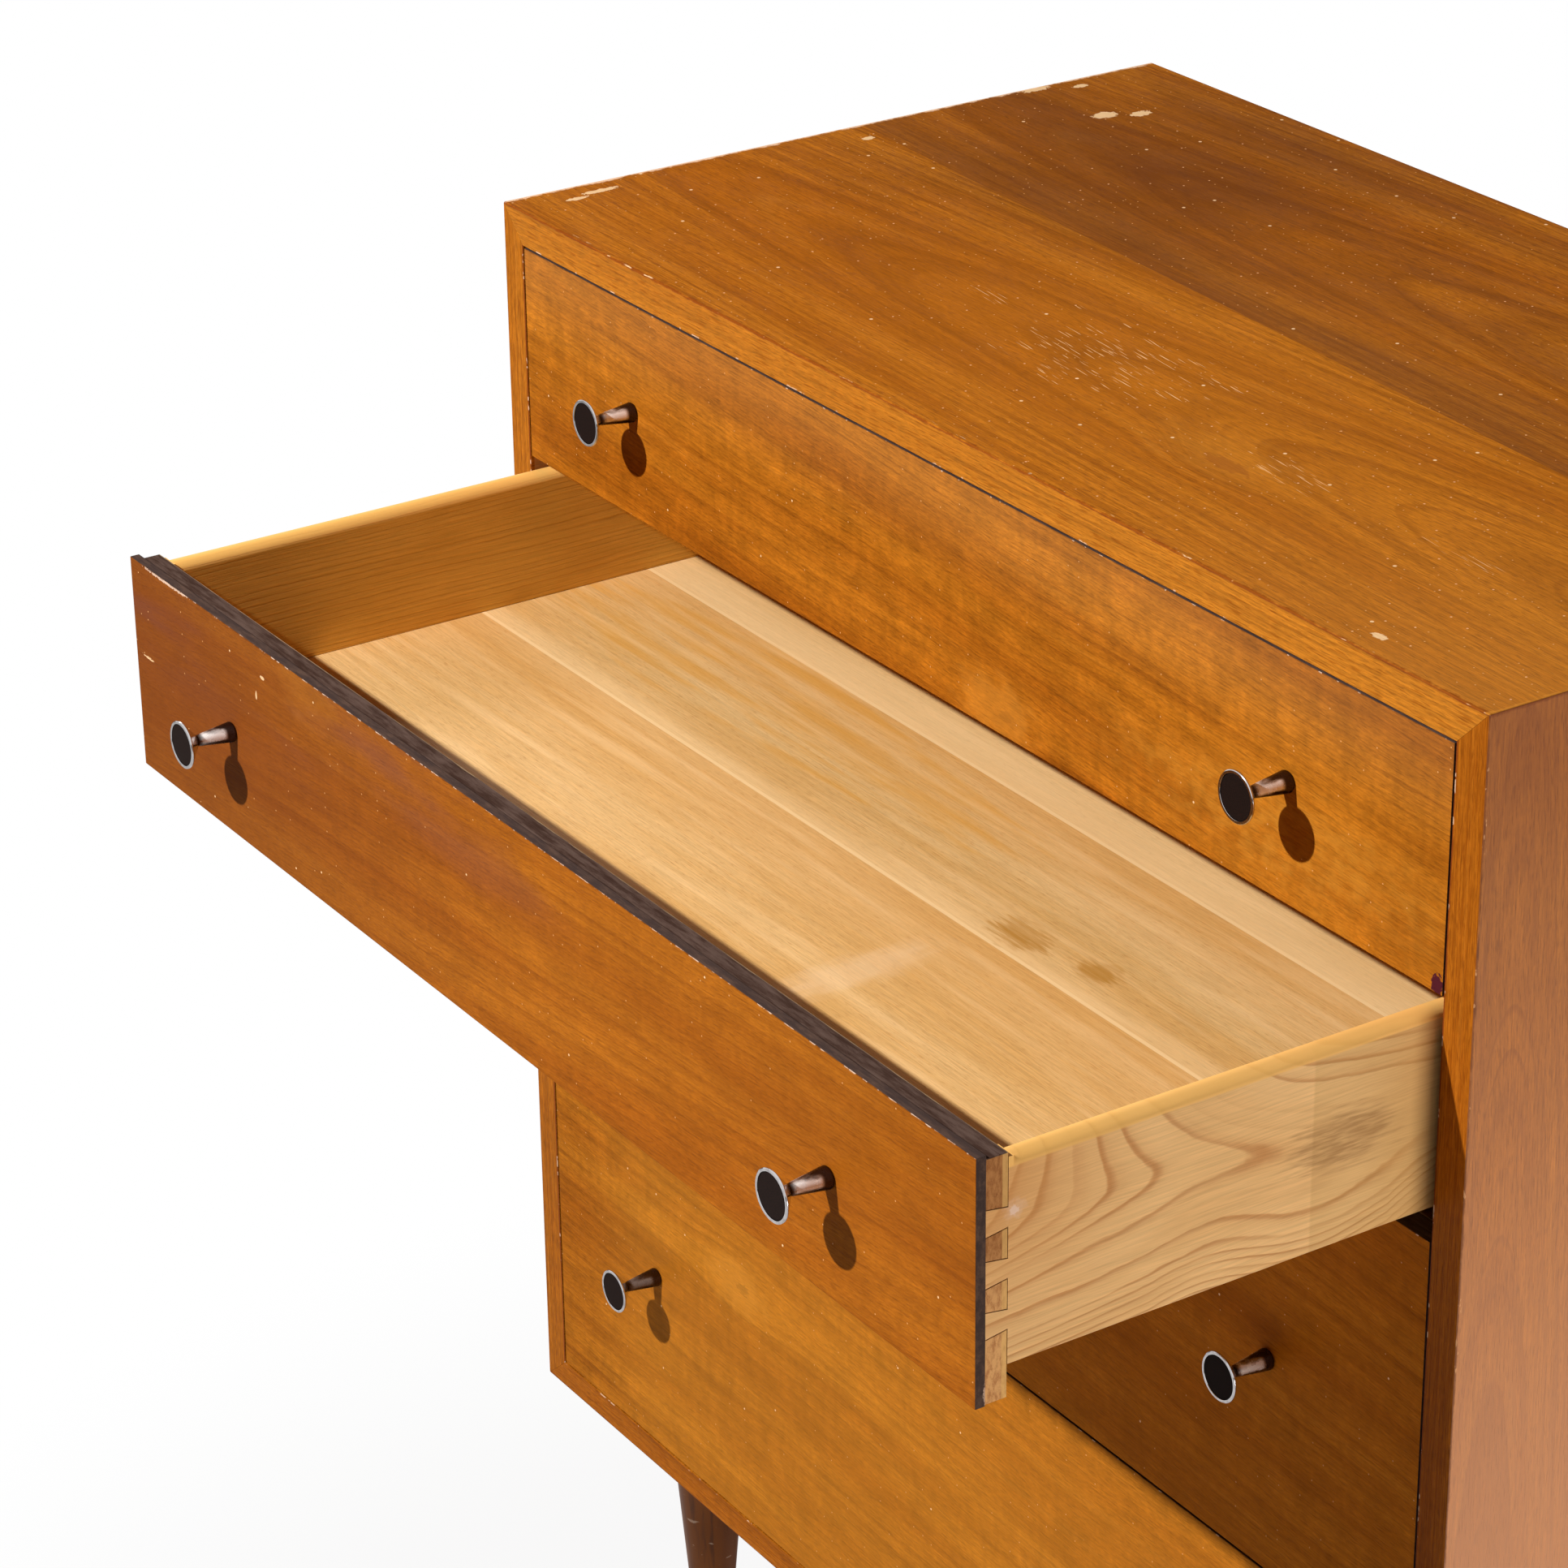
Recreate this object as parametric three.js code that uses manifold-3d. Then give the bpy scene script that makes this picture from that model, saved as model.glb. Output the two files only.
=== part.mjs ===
// A highboy: a mitred walnut case on four tapered legs, holding four full-width drawers.
// Millimetres, +Z up, the drawers open towards -Y. The second drawer stands open.
// The origin lies on the floor, under the middle of the box that holds the whole piece.
import * as THREE from "three";
import { mergeVertices } from "three/addons/utils/BufferGeometryUtils.js";
import Module from "manifold-3d";

const wasm = await Module();
wasm.setup();

// Fits, and the length by which a cut runs past the piece it cuts
const seatGap = 0.3;
const runGap = 0.3;
const frontGap = 1.2;
const mitreGap = 0.4;
const overrun = 2;

// Case
const caseWidth = 914;
const caseDepth = 492;
const panelThickness = 22.2;
const bottomThickness = 19;
const backThickness = 6;
const backLap = 10;

// Drawer fronts, from the top drawer down
const shallowFront = 135;
const middleFront = 261.5;
const deepFront = 256;
const frontHeights = [shallowFront, shallowFront, middleFront, deepFront];

// How far each drawer stands open, and the widest opening of the second one
const openTravel = 275;
const drawerTravels = [0, openTravel, 0, 0];

// Drawer front: a thin face panel on a sub-front
const faceThickness = 6;
const subFrontThickness = 13;
const subFrontInset = 1.4;
const subFrontDrop = 2.8;

// Drawer box
const rearClearance = 29.5;
const sideThickness = 12.5;
const sideTopDrop = 5.7;
const sideRise = 18;
const squareLength = 3;
const drawerBackThickness = 12.5;
const drawerBackDrop = 8;
const plyThickness = 5.5;
const plyRise = 24;
const grooveDepth = 6;
const roundDivisions = 5;

// Dovetails between the drawer sides and the sub-front
const firstTailDrop = 31.8;
const tailPitch = 27.5;
const lastTailRise = 20;
const tailEndWidth = 15;
const tailRootWidth = 11;

// Frames under the drawers
const frameSetback = 24;
const frontRailWidth = 60;
const rearRailWidth = 50;
const runnerWidth = 45;
const middleRailWidth = 60;
const guideWidth = 24;
const guideHeight = 10;
const guidePlay = 1;

// Legs
const legLength = 162;
const legTopRadius = 27.3;
const legFootRadius = 13.2;
const legChamfer = 1.5;
const legInsetX = 100;
const legInsetY = 65;
const legBoltRadius = 4;
const legBoltLength = 14;
const plateSide = 72;
const plateThickness = 3;
const legSegments = 20;

// Knobs
const knobInset = 146;
const knobReach = 33;
const knobRadius = 14.3;
const knobRimThickness = 1.2;
const knobNeckRadius = 3.3;
const knobNeckReach = 23;
const flareShares = [0.42, 0.6];
const knobBaseRadius = 6.2;
const knobBaseRound = 1.4;
const insertRadius = 12.2;
const insertThickness = 1.4;
const insertDrop = 0.2;
const studRadius = 2.2;
const studLength = 14;
const knobSegments = 16;

// Finishes
const finishes = {
  walnut: { color: 0x9a5a22, roughness: 0.38, metalness: 0 },
  sideWalnut: { color: 0x93583a, roughness: 0.42, metalness: 0 },
  drawerWalnut: { color: 0xa45f1d, roughness: 0.38, metalness: 0 },
  darkEdge: { color: 0x4a3732, roughness: 0.6, metalness: 0 },
  drawerWood: { color: 0xc59455, roughness: 0.6, metalness: 0 },
  plywood: { color: 0xe2b373, roughness: 0.5, metalness: 0 },
  frameWood: { color: 0x6b4a28, roughness: 0.7, metalness: 0 },
  backBoard: { color: 0x6e4b2c, roughness: 0.8, metalness: 0 },
  legWood: { color: 0x66381c, roughness: 0.35, metalness: 0 },
  steel: { color: 0x8d8d8f, roughness: 0.45, metalness: 1 },
  chrome: { color: 0xd9d9dc, roughness: 0.12, metalness: 1 },
  black: { color: 0x17161a, roughness: 0.35, metalness: 0 },
};

// Heights and depths that follow from the sizes above
const sum = (list) => list.reduce((total, value) => total + value, 0);
const frontGaps = frontGap * (frontHeights.length + 1);
const caseHeight = bottomThickness + sum(frontHeights) + frontGaps + panelThickness;
const caseBottom = legLength + plateThickness;
const caseTop = caseBottom + caseHeight;
const innerHalf = caseWidth / 2 - panelThickness;
const caseFront = (openTravel + knobReach - caseDepth) / 2;
const caseRear = caseFront + caseDepth;
const backFace = caseRear - backThickness;
const faceHalf = innerHalf - frontGap;
const boxHalf = faceHalf - subFrontInset;
const boxStart = faceThickness + subFrontThickness;
const boxEnd = caseDepth - backThickness - rearClearance;
const runnerTop = sideRise - runGap;
const frameBottom = seatGap - frontGap;

// A box between its lowest and highest corners
function slab(low, high) {
  const size = high.map((value, axis) => value - low[axis]);
  const geometry = new THREE.BoxGeometry(...size);
  geometry.translate(...high.map((value, axis) => (value + low[axis]) / 2));
  return geometry;
}

// An outline in X and Z, drawn out along Y
function alongY(points, from, to) {
  const shape = new THREE.Shape(points.map(([x, z]) => new THREE.Vector2(x, z)));
  const geometry = new THREE.ExtrudeGeometry(shape, { depth: to - from, bevelEnabled: false });
  geometry.rotateX(Math.PI / 2);
  geometry.translate(0, to, 0);
  return geometry;
}

// An outline in Y and Z, drawn out along X
function alongX(points, from, to) {
  const shape = new THREE.Shape(points.map(([y, z]) => new THREE.Vector2(y, z)));
  const geometry = new THREE.ExtrudeGeometry(shape, { depth: to - from, bevelEnabled: false });
  geometry.rotateX(Math.PI / 2);
  geometry.rotateZ(Math.PI / 2);
  geometry.translate(from, 0, 0);
  return geometry;
}

// A profile of radius and height turned about the Z axis
function turned(points, segments) {
  const profile = points.map(([radius, height]) => new THREE.Vector2(radius, height));
  return new THREE.LatheGeometry(profile, segments).rotateX(Math.PI / 2);
}

// Closed geometry as a solid that can be cut and joined, and back
function toSolid(geometry) {
  const bare = geometry.clone();
  bare.deleteAttribute("normal");
  bare.deleteAttribute("uv");
  const merged = mergeVertices(bare);
  const vertProperties = new Float32Array(merged.attributes.position.array);
  const triVerts = new Uint32Array(merged.index.array);
  return new wasm.Manifold(new wasm.Mesh({ numProp: 3, vertProperties, triVerts }));
}

function toGeometry(solid) {
  const { vertProperties, triVerts } = solid.getMesh();
  const geometry = new THREE.BufferGeometry();
  geometry.setAttribute("position", new THREE.BufferAttribute(vertProperties, 3));
  geometry.setIndex(new THREE.BufferAttribute(triVerts, 1));
  geometry.computeVertexNormals();
  return geometry;
}

function cut(geometry, tools) {
  return toGeometry(tools.reduce((left, tool) => left.subtract(toSolid(tool)), toSolid(geometry)));
}

function join(geometries) {
  const [first, ...others] = geometries.map(toSolid);
  return toGeometry(others.reduce((whole, other) => whole.add(other), first));
}

// A named mesh in its own material
function piece(name, geometry, finish) {
  const mesh = new THREE.Mesh(geometry, new THREE.MeshStandardMaterial(finishes[finish]));
  mesh.name = name;
  return mesh;
}

// The case: top, bottom and sides mitred round the drawers, with a back let in behind
function buildCase() {
  const half = caseWidth / 2;
  const back = {
    low: [-innerHalf - backLap, backFace, caseBottom + bottomThickness - backLap],
    high: [innerHalf + backLap, caseRear, caseTop - panelThickness + backLap],
  };
  const rabbet = slab(
    back.low.map((value) => value - seatGap),
    [back.high[0] + seatGap, caseRear + overrun, back.high[2] + seatGap],
  );
  const ledge = caseBottom + bottomThickness;
  const soffit = caseTop - panelThickness;
  const topOutline = [
    [-half, caseTop],
    [-innerHalf, soffit],
    [innerHalf, soffit],
    [half, caseTop],
  ];
  const bottomOutline = [
    [-half, caseBottom],
    [half, caseBottom],
    [innerHalf, ledge],
    [-innerHalf, ledge],
  ];
  const sideOutline = (side) => [
    [side * half, caseBottom + mitreGap],
    [side * innerHalf, ledge + mitreGap],
    [side * innerHalf, soffit - mitreGap],
    [side * half, caseTop - mitreGap],
  ];
  const panel = (outline, tools) => cut(alongY(outline, caseFront, caseRear), tools);
  const group = new THREE.Group();
  group.add(
    piece("top_panel", panel(topOutline, [rabbet]), "walnut"),
    piece("bottom_panel", panel(bottomOutline, [rabbet, ...legPlaces().map(boltHole)]), "walnut"),
    piece("left_side_panel", panel(sideOutline(-1).reverse(), [rabbet]), "sideWalnut"),
    piece("right_side_panel", panel(sideOutline(1), [rabbet]), "sideWalnut"),
    piece("back_panel", slab(back.low, back.high), "backBoard"),
  );
  return group;
}

// Where the four legs stand
function legPlaces() {
  const x = caseWidth / 2 - legInsetX;
  return [
    { name: "front_left", x: -x, y: caseFront + legInsetY },
    { name: "front_right", x, y: caseFront + legInsetY },
    { name: "rear_left", x: -x, y: caseRear - legInsetY },
    { name: "rear_right", x, y: caseRear - legInsetY },
  ];
}

// The hole that a leg's bolt takes through the plate and into the case bottom
function boltHole({ x, y }) {
  const radius = legBoltRadius + seatGap;
  const low = legLength - overrun;
  const high = legLength + legBoltLength + seatGap;
  const hole = new THREE.CylinderGeometry(radius, radius, high - low, legSegments);
  hole.rotateX(Math.PI / 2);
  hole.translate(x, y, (low + high) / 2);
  return hole;
}

// A tapered round leg with its bolt, and the steel plate between it and the case
function buildLeg(place) {
  const footRadius = legFootRadius - legChamfer;
  const leg = turned(
    [
      [0, 0],
      [footRadius, 0],
      [legFootRadius, legChamfer],
      [legTopRadius, legLength - seatGap],
      [legBoltRadius, legLength - seatGap],
      [legBoltRadius, legLength + legBoltLength],
      [0, legLength + legBoltLength],
    ],
    legSegments,
  );
  const legMesh = piece(`leg_${place.name}`, leg, "legWood");
  legMesh.position.set(place.x, place.y, 0);
  const reach = plateSide / 2;
  const blank = slab(
    [place.x - reach, place.y - reach, legLength],
    [place.x + reach, place.y + reach, caseBottom - seatGap],
  );
  const plate = cut(blank, [boltHole(place)]);
  return [legMesh, piece(`leg_plate_${place.name}`, plate, "steel")];
}

// A frame that carries one drawer: two rails, two runners and a middle rail with a guide strip.
// Height zero is the lower edge of that drawer's front.
function frameGeometry() {
  const half = innerHalf - seatGap;
  const front = caseFront + frameSetback;
  const rear = backFace - seatGap;
  const blank = slab([-half, front, frameBottom], [half, rear, runnerTop]);
  const window = (from, to) =>
    slab(
      [from, front + frontRailWidth, frameBottom - overrun],
      [to, rear - rearRailWidth, runnerTop + overrun],
    );
  const left = window(runnerWidth - half, -middleRailWidth / 2);
  const right = window(middleRailWidth / 2, half - runnerWidth);
  const strip = slab(
    [-guideWidth / 2, front, frameBottom],
    [guideWidth / 2, rear, runnerTop + guideHeight],
  );
  return join([cut(blank, [left, right]), strip]);
}

// The tails of a drawer side: wider at the face than at the root, with play all round if asked
function tailOutlines(sideBottom, sideTop, play) {
  const room = sideTop - firstTailDrop - lastTailRise - sideBottom;
  const count = 1 + Math.floor(room / tailPitch);
  const end = tailEndWidth / 2 + play;
  const root = tailRootWidth / 2 + play;
  return Array.from({ length: count }, (_, index) => {
    const z = sideTop - firstTailDrop - index * tailPitch;
    return [
      [faceThickness - play, z - end],
      [boxStart, z - root],
      [boxStart + overrun, z - root],
      [boxStart + overrun, z + root],
      [boxStart, z + root],
      [faceThickness - play, z + end],
    ];
  });
}

// A drawer side: round along its top edge behind the joint, tails in front, a groove for the bottom
function sideGeometry(side, sideBottom, sideTop, plySlot) {
  const outer = side * boxHalf;
  const inner = side * (boxHalf - sideThickness);
  const low = Math.min(outer, inner);
  const high = Math.max(outer, inner);
  const start = boxStart + seatGap;
  const round = sideThickness / 2;
  const arc = new THREE.Shape();
  arc.moveTo(low, sideBottom);
  arc.lineTo(high, sideBottom);
  arc.lineTo(high, sideTop - round);
  arc.absarc((low + high) / 2, sideTop - round, round, 0, Math.PI, false);
  const outline = arc.extractPoints(roundDivisions).shape.map((point) => [point.x, point.y]);
  const plank = alongY(outline, start, boxEnd);
  const square = slab([low, start, sideBottom], [high, start + squareLength, sideTop]);
  const tails = tailOutlines(sideBottom, sideTop, 0).map((points) => alongX(points, low, high));
  return cut(join([plank, square, ...tails]), [plySlot]);
}

// The sub-front: sockets for the tails at both ends, a groove, and holes for the knob studs
function subFrontGeometry(height, sideBottom, sideTop, plySlot, studHoles) {
  const blank = slab(
    [-boxHalf, faceThickness, 0],
    [boxHalf, boxStart, height - subFrontDrop],
  );
  const rootLine = boxHalf - sideThickness - seatGap;
  const sockets = tailOutlines(sideBottom, sideTop, seatGap).flatMap((points) => [
    alongX(points, -boxHalf - overrun, -rootLine),
    alongX(points, rootLine, boxHalf + overrun),
  ]);
  return cut(blank, [...sockets, plySlot, ...studHoles]);
}

// A knob with the recess in its head and the stud on its foot, standing on Z = 0 with its head up
function knobGeometry() {
  const rimLow = knobReach - knobRimThickness;
  const recess = knobReach - insertDrop - insertThickness - seatGap;
  const recessRadius = insertRadius + seatGap;
  const flare = knobRadius - knobNeckRadius;
  const drop = rimLow - knobNeckReach;
  return turned(
    [
      [0, -studLength],
      [studRadius, -studLength],
      [studRadius, seatGap],
      [knobBaseRadius - knobBaseRound, seatGap],
      [knobBaseRadius, knobBaseRound],
      [knobNeckRadius, knobNeckReach],
      [knobNeckRadius + flare * flareShares[0], knobNeckReach + drop * flareShares[1]],
      [knobRadius, rimLow],
      [knobRadius, knobReach],
      [recessRadius, knobReach],
      [recessRadius, recess],
      [0, recess],
    ],
    knobSegments,
  );
}

// The black disc in a knob's head
function insertGeometry() {
  const disc = new THREE.CylinderGeometry(insertRadius, insertRadius, insertThickness, knobSegments);
  disc.rotateX(Math.PI / 2);
  disc.translate(0, 0, knobReach - insertDrop - insertThickness / 2);
  return disc;
}

// A stud hole, as a bar along Y through the face and into the sub-front
function studHole(x, z) {
  const radius = studRadius + seatGap;
  const hole = new THREE.CylinderGeometry(radius, radius, studLength + seatGap + overrun, knobSegments);
  hole.translate(x, (studLength + seatGap - overrun) / 2, z);
  return hole;
}

// One drawer, with its front's lower edge at Z = 0 and its face at Y = 0
function buildDrawer(number, height) {
  const sideBottom = sideRise;
  const sideTop = height - sideTopDrop;
  const innerBox = boxHalf - sideThickness;
  const plyHalf = innerBox + grooveDepth - seatGap;
  const plyLow = [-plyHalf, boxStart - grooveDepth + seatGap, sideBottom + plyRise];
  const plyHigh = [
    plyHalf,
    boxEnd - drawerBackThickness + grooveDepth - seatGap,
    sideBottom + plyRise + plyThickness,
  ];
  const plySlot = slab(
    plyLow.map((value) => value - seatGap),
    plyHigh.map((value) => value + seatGap),
  );
  const knobs = [
    { side: "left", x: knobInset - caseWidth / 2 },
    { side: "right", x: caseWidth / 2 - knobInset },
  ];
  const knobHeight = height / 2;
  const studHoles = knobs.map(({ x }) => studHole(x, knobHeight));
  const face = cut(slab([-faceHalf, 0, 0], [faceHalf, faceThickness, height]), studHoles);
  const subFront = subFrontGeometry(height, sideBottom, sideTop, plySlot, studHoles);
  const backBlank = slab(
    [seatGap - innerBox, boxEnd - drawerBackThickness, sideBottom],
    [innerBox - seatGap, boxEnd, sideTop - drawerBackDrop],
  );
  const notchHalf = guideWidth / 2 + guidePlay;
  const notch = slab(
    [-notchHalf, boxEnd - drawerBackThickness - overrun, sideBottom - overrun],
    [notchHalf, boxEnd + overrun, runnerTop + guideHeight + guidePlay],
  );
  const group = new THREE.Group();
  group.add(
    piece(`drawer_${number}_face`, face, "drawerWalnut"),
    piece(`drawer_${number}_subfront`, subFront, "darkEdge"),
    piece(`drawer_${number}_left_side`, sideGeometry(-1, sideBottom, sideTop, plySlot), "drawerWood"),
    piece(`drawer_${number}_right_side`, sideGeometry(1, sideBottom, sideTop, plySlot), "drawerWood"),
    piece(`drawer_${number}_back`, cut(backBlank, [plySlot, notch]), "drawerWood"),
    piece(`drawer_${number}_bottom`, slab(plyLow, plyHigh), "plywood"),
  );
  for (const { side, x } of knobs) {
    const knob = new THREE.Group();
    knob.add(piece(`knob_${number}_${side}`, knobGeometry(), "chrome"));
    knob.add(piece(`knob_${number}_${side}_insert`, insertGeometry(), "black"));
    knob.rotation.x = Math.PI / 2;
    knob.position.set(x, 0, knobHeight);
    group.add(knob);
  }
  return group;
}

// The whole piece: case, legs, then a frame and a drawer for each front from the top down
const highboy = new THREE.Group();
highboy.add(buildCase(), ...legPlaces().flatMap(buildLeg));
let frontTop = caseTop - panelThickness - frontGap;
frontHeights.forEach((height, index) => {
  const frontBottom = frontTop - height;
  const frame = piece(`drawer_frame_${index + 1}`, frameGeometry(), "frameWood");
  frame.position.z = frontBottom;
  const drawer = buildDrawer(index + 1, height);
  drawer.position.set(0, caseFront - drawerTravels[index], frontBottom);
  highboy.add(frame, drawer);
  frontTop = frontBottom - frontGap;
});

export default highboy;
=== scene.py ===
import math

import bmesh
import bpy
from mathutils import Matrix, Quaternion, Vector


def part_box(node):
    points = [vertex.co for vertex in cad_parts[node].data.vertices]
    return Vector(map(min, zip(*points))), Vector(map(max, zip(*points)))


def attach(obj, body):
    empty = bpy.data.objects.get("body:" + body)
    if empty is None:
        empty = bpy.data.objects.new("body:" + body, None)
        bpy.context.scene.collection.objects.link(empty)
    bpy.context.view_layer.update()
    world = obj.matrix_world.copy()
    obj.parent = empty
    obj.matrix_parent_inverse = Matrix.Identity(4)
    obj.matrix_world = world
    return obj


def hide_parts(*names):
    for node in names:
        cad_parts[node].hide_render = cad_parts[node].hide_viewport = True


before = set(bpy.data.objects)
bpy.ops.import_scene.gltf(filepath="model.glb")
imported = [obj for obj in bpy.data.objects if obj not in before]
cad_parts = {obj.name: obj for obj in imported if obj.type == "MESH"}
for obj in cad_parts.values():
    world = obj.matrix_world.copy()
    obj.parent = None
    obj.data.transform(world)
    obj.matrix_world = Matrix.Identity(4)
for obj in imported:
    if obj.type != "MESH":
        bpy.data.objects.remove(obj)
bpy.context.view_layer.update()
scene = bpy.context.scene


# The case: top, bottom and two sides of walnut veneer on solid core, mitred all round.
# The outer arris runs round the four panels in one, so each is sawn out of the same box.
# The front and back edges carry a solid band.
LEFT, RIGHT = -0.457, 0.457
FRONT, REAR = -0.092, 0.4
UNDERSIDE, TOP = 0.165, 0.9997
PANEL = 0.0222
FLOOR_PANEL = 0.019
INNER_LEFT, INNER_RIGHT = LEFT + PANEL, RIGHT - PANEL
LEDGE, SOFFIT = UNDERSIDE + FLOOR_PANEL, TOP - PANEL
BACK = 0.006
BACK_LAP = 0.0103
BACK_PLAY = 0.0003
ARRIS = 0.0011
INNER_ARRIS = 0.0005
JOINT_LINE = 0.00006
SEAM_SLOPE, SEAM_PLACE = 0.0488, 0.1477
# Closer than this, two points are one, a point touches a plane, or it is level with it.
MERGE, TOUCH, LEVEL = 1e-7, 1e-6, 1e-5
# A face looks one way where its normal has more than this share in it.
FACING = 0.75

WALNUT_PALE = (0.62, 0.24, 0.03)
WALNUT_LIGHT = (0.505, 0.165, 0.011)
WALNUT_MID = (0.375, 0.106, 0.006)
WALNUT_DEEP = (0.165, 0.04, 0.003)
WALNUT_DARK = (0.07, 0.017, 0.003)
BARE_WOOD = (0.86, 0.56, 0.29)
WORN_RED = (0.17, 0.03, 0.008)


class Value:
    """A socket of a tree of nodes, so that sums on sockets read as plain sums."""

    def __init__(self, nodes, socket):
        self.nodes = nodes
        self.socket = socket

    def _math(self, operation, *terms):
        return self.nodes.node("Math", dict(enumerate(terms)), {"operation": operation})

    def __add__(self, other):
        return self._math("ADD", self, other)

    def __sub__(self, other):
        return self._math("SUBTRACT", self, other)

    def __rsub__(self, other):
        return self._math("SUBTRACT", other, self)

    def __mul__(self, other):
        return self._math("MULTIPLY", self, other)

    def __truediv__(self, other):
        return self._math("DIVIDE", self, other)

    __radd__ = __add__
    __rmul__ = __mul__

    def size(self):
        return self._math("ABSOLUTE", self)

    def most(self, other):
        return self._math("MAXIMUM", self, other)

    def least(self, other):
        return self._math("MINIMUM", self, other)

    def blend_least(self, other, reach):
        """The smaller of two, rounded off where they meet."""
        return self._math("SMOOTH_MIN", self, other, reach)

    def wrap(self):
        return self._math("FRACT", self)

    def wave(self):
        return self._math("SINE", self)

    def over(self, low, high, first=0.0, last=1.0):
        """Smoothly from first at low to last at high."""
        settings = {"interpolation_type": "SMOOTHSTEP"}
        sockets = {0: self, 1: low, 2: high, 3: first, 4: last}
        return self.nodes.node("MapRange", sockets, settings)


def union(masks):
    """Where any of the masks shows."""
    shown, *others = masks
    for mask in others:
        shown = shown.most(mask)
    return shown


def triple(size):
    """A lone size stands for all three directions, and a pair leaves the third at 1."""
    return (*size, 1.0)[:3] if isinstance(size, tuple) else (size, size, size)


class Nodes:
    """A tree of nodes, filled through one method."""

    def __init__(self, tree):
        self.tree = tree

    def node(self, kind, sockets=None, settings=None, output=0):
        """Adds a node, and gives one of its outputs."""
        made = self.tree.nodes.new("ShaderNode" + kind)
        for name, value in (settings or {}).items():
            setattr(made, name, value)
        for name, value in (sockets or {}).items():
            self.feed(made, name, value)
        return Value(self, made.outputs[output])

    def feed(self, node, name, value):
        """Sets a socket, or links it where the value varies."""
        if isinstance(value, Value):
            self.tree.links.new(value.socket, node.inputs[name])
        else:
            node.inputs[name].default_value = value


class Look(Nodes):
    """The look of one material. Its colour is laid on in layers, each over the last."""

    def __init__(self, name, roughness, specular, metallic=0.0):
        self.material = bpy.data.materials.new(name)
        self.material.use_nodes = True
        super().__init__(self.material.node_tree)
        self.shader = self.tree.nodes["Principled BSDF"]
        self.feed(self.shader, "Roughness", roughness)
        self.feed(self.shader, "Specular IOR Level", specular)
        self.feed(self.shader, "Metallic", metallic)
        self.place = self.node("TexCoord", output="Object")
        parts = [self.node("SeparateXYZ", {0: self.place}, output=i) for i in range(3)]
        self.x, self.y, self.z = parts
        self.colour = None

    def vector(self, operation, *terms, output=0):
        return self.node("VectorMath", dict(enumerate(terms)), {"operation": operation}, output)

    def point(self, x, y, z=0.0):
        return self.node("CombineXYZ", {0: x, 1: y, 2: z})

    def distance(self, centre, reach):
        """How far a place is from the centre, where the reach counts as one."""
        away = self.vector("DIVIDE", self.vector("SUBTRACT", self.place, centre), reach)
        return self.vector("LENGTH", away, output="Value")

    def noise(self, sizes, shift, detail=3.0, roughness=0.5, distortion=0.0, place=None):
        """Noise whose blotches have these sizes, in metres."""
        scale = [1 / size for size in triple(sizes)]
        place = self.vector("MULTIPLY_ADD", place or self.place, scale, [shift] * 3)
        return self.node("TexNoise", {"Vector": place, "Scale": 1.0, "Detail": detail,
                                      "Roughness": roughness, "Distortion": distortion})

    def spot(self, centre, reach, ragged=0.5, grain=0.004, soft=0.1):
        """A blotch round a point, with a ragged edge."""
        rough = (self.noise(grain, sum(centre) * 7, detail=2.0) - 0.5) * (2 * ragged)
        return (self.distance(centre, reach) + rough).over(0.95 + soft, 0.95 - soft)

    def mix(self, factor, first, second):
        """One colour, turned into another where the factor says so."""
        pair = [item if isinstance(item, Value) else (*item, 1.0) for item in (first, second)]
        settings = {"data_type": "RGBA", "clamp_factor": True}
        return self.node("Mix", {0: factor, 6: pair[0], 7: pair[1]}, settings, output=2)

    def tint(self, factor, colour):
        """Lays a colour over the ones before it."""
        self.colour = self.mix(factor, self.colour, colour)

    def shade(self, factor):
        """Makes the colour darker or lighter by a factor that varies."""
        self.colour = self.vector("MULTIPLY", self.colour, self.point(factor, factor, factor))

    def done(self, roughness=None, height=None, depth=0.0001):
        """Joins the colour, the roughness and the relief to the shader."""
        self.feed(self.shader, "Base Color", self.colour)
        if roughness is not None:
            self.feed(self.shader, "Roughness", roughness)
        if height is not None:
            sockets = {"Height": height, "Strength": 1.0, "Distance": depth}
            self.feed(self.shader, "Normal", self.node("Bump", sockets))
        return self.material


def parted(look, across, middle, centre, reach, strength):
    """Growth lines, counted across the board, that part round a knot."""
    near = look.distance(centre, reach).over(1.0, 0.0)
    return across - (across - middle) * near * strength


BENDS = (0.45, 0.13)


def growth(look, along, across, shift, wander, bends=BENDS):
    """Where a place lies along and across the growth lines, which wander a little."""
    place = look.point(along, across, shift)
    drift = look.noise(bends, shift, detail=2.0, place=place)
    return look.point(along, across + (drift - 0.5) * wander, shift)


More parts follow.
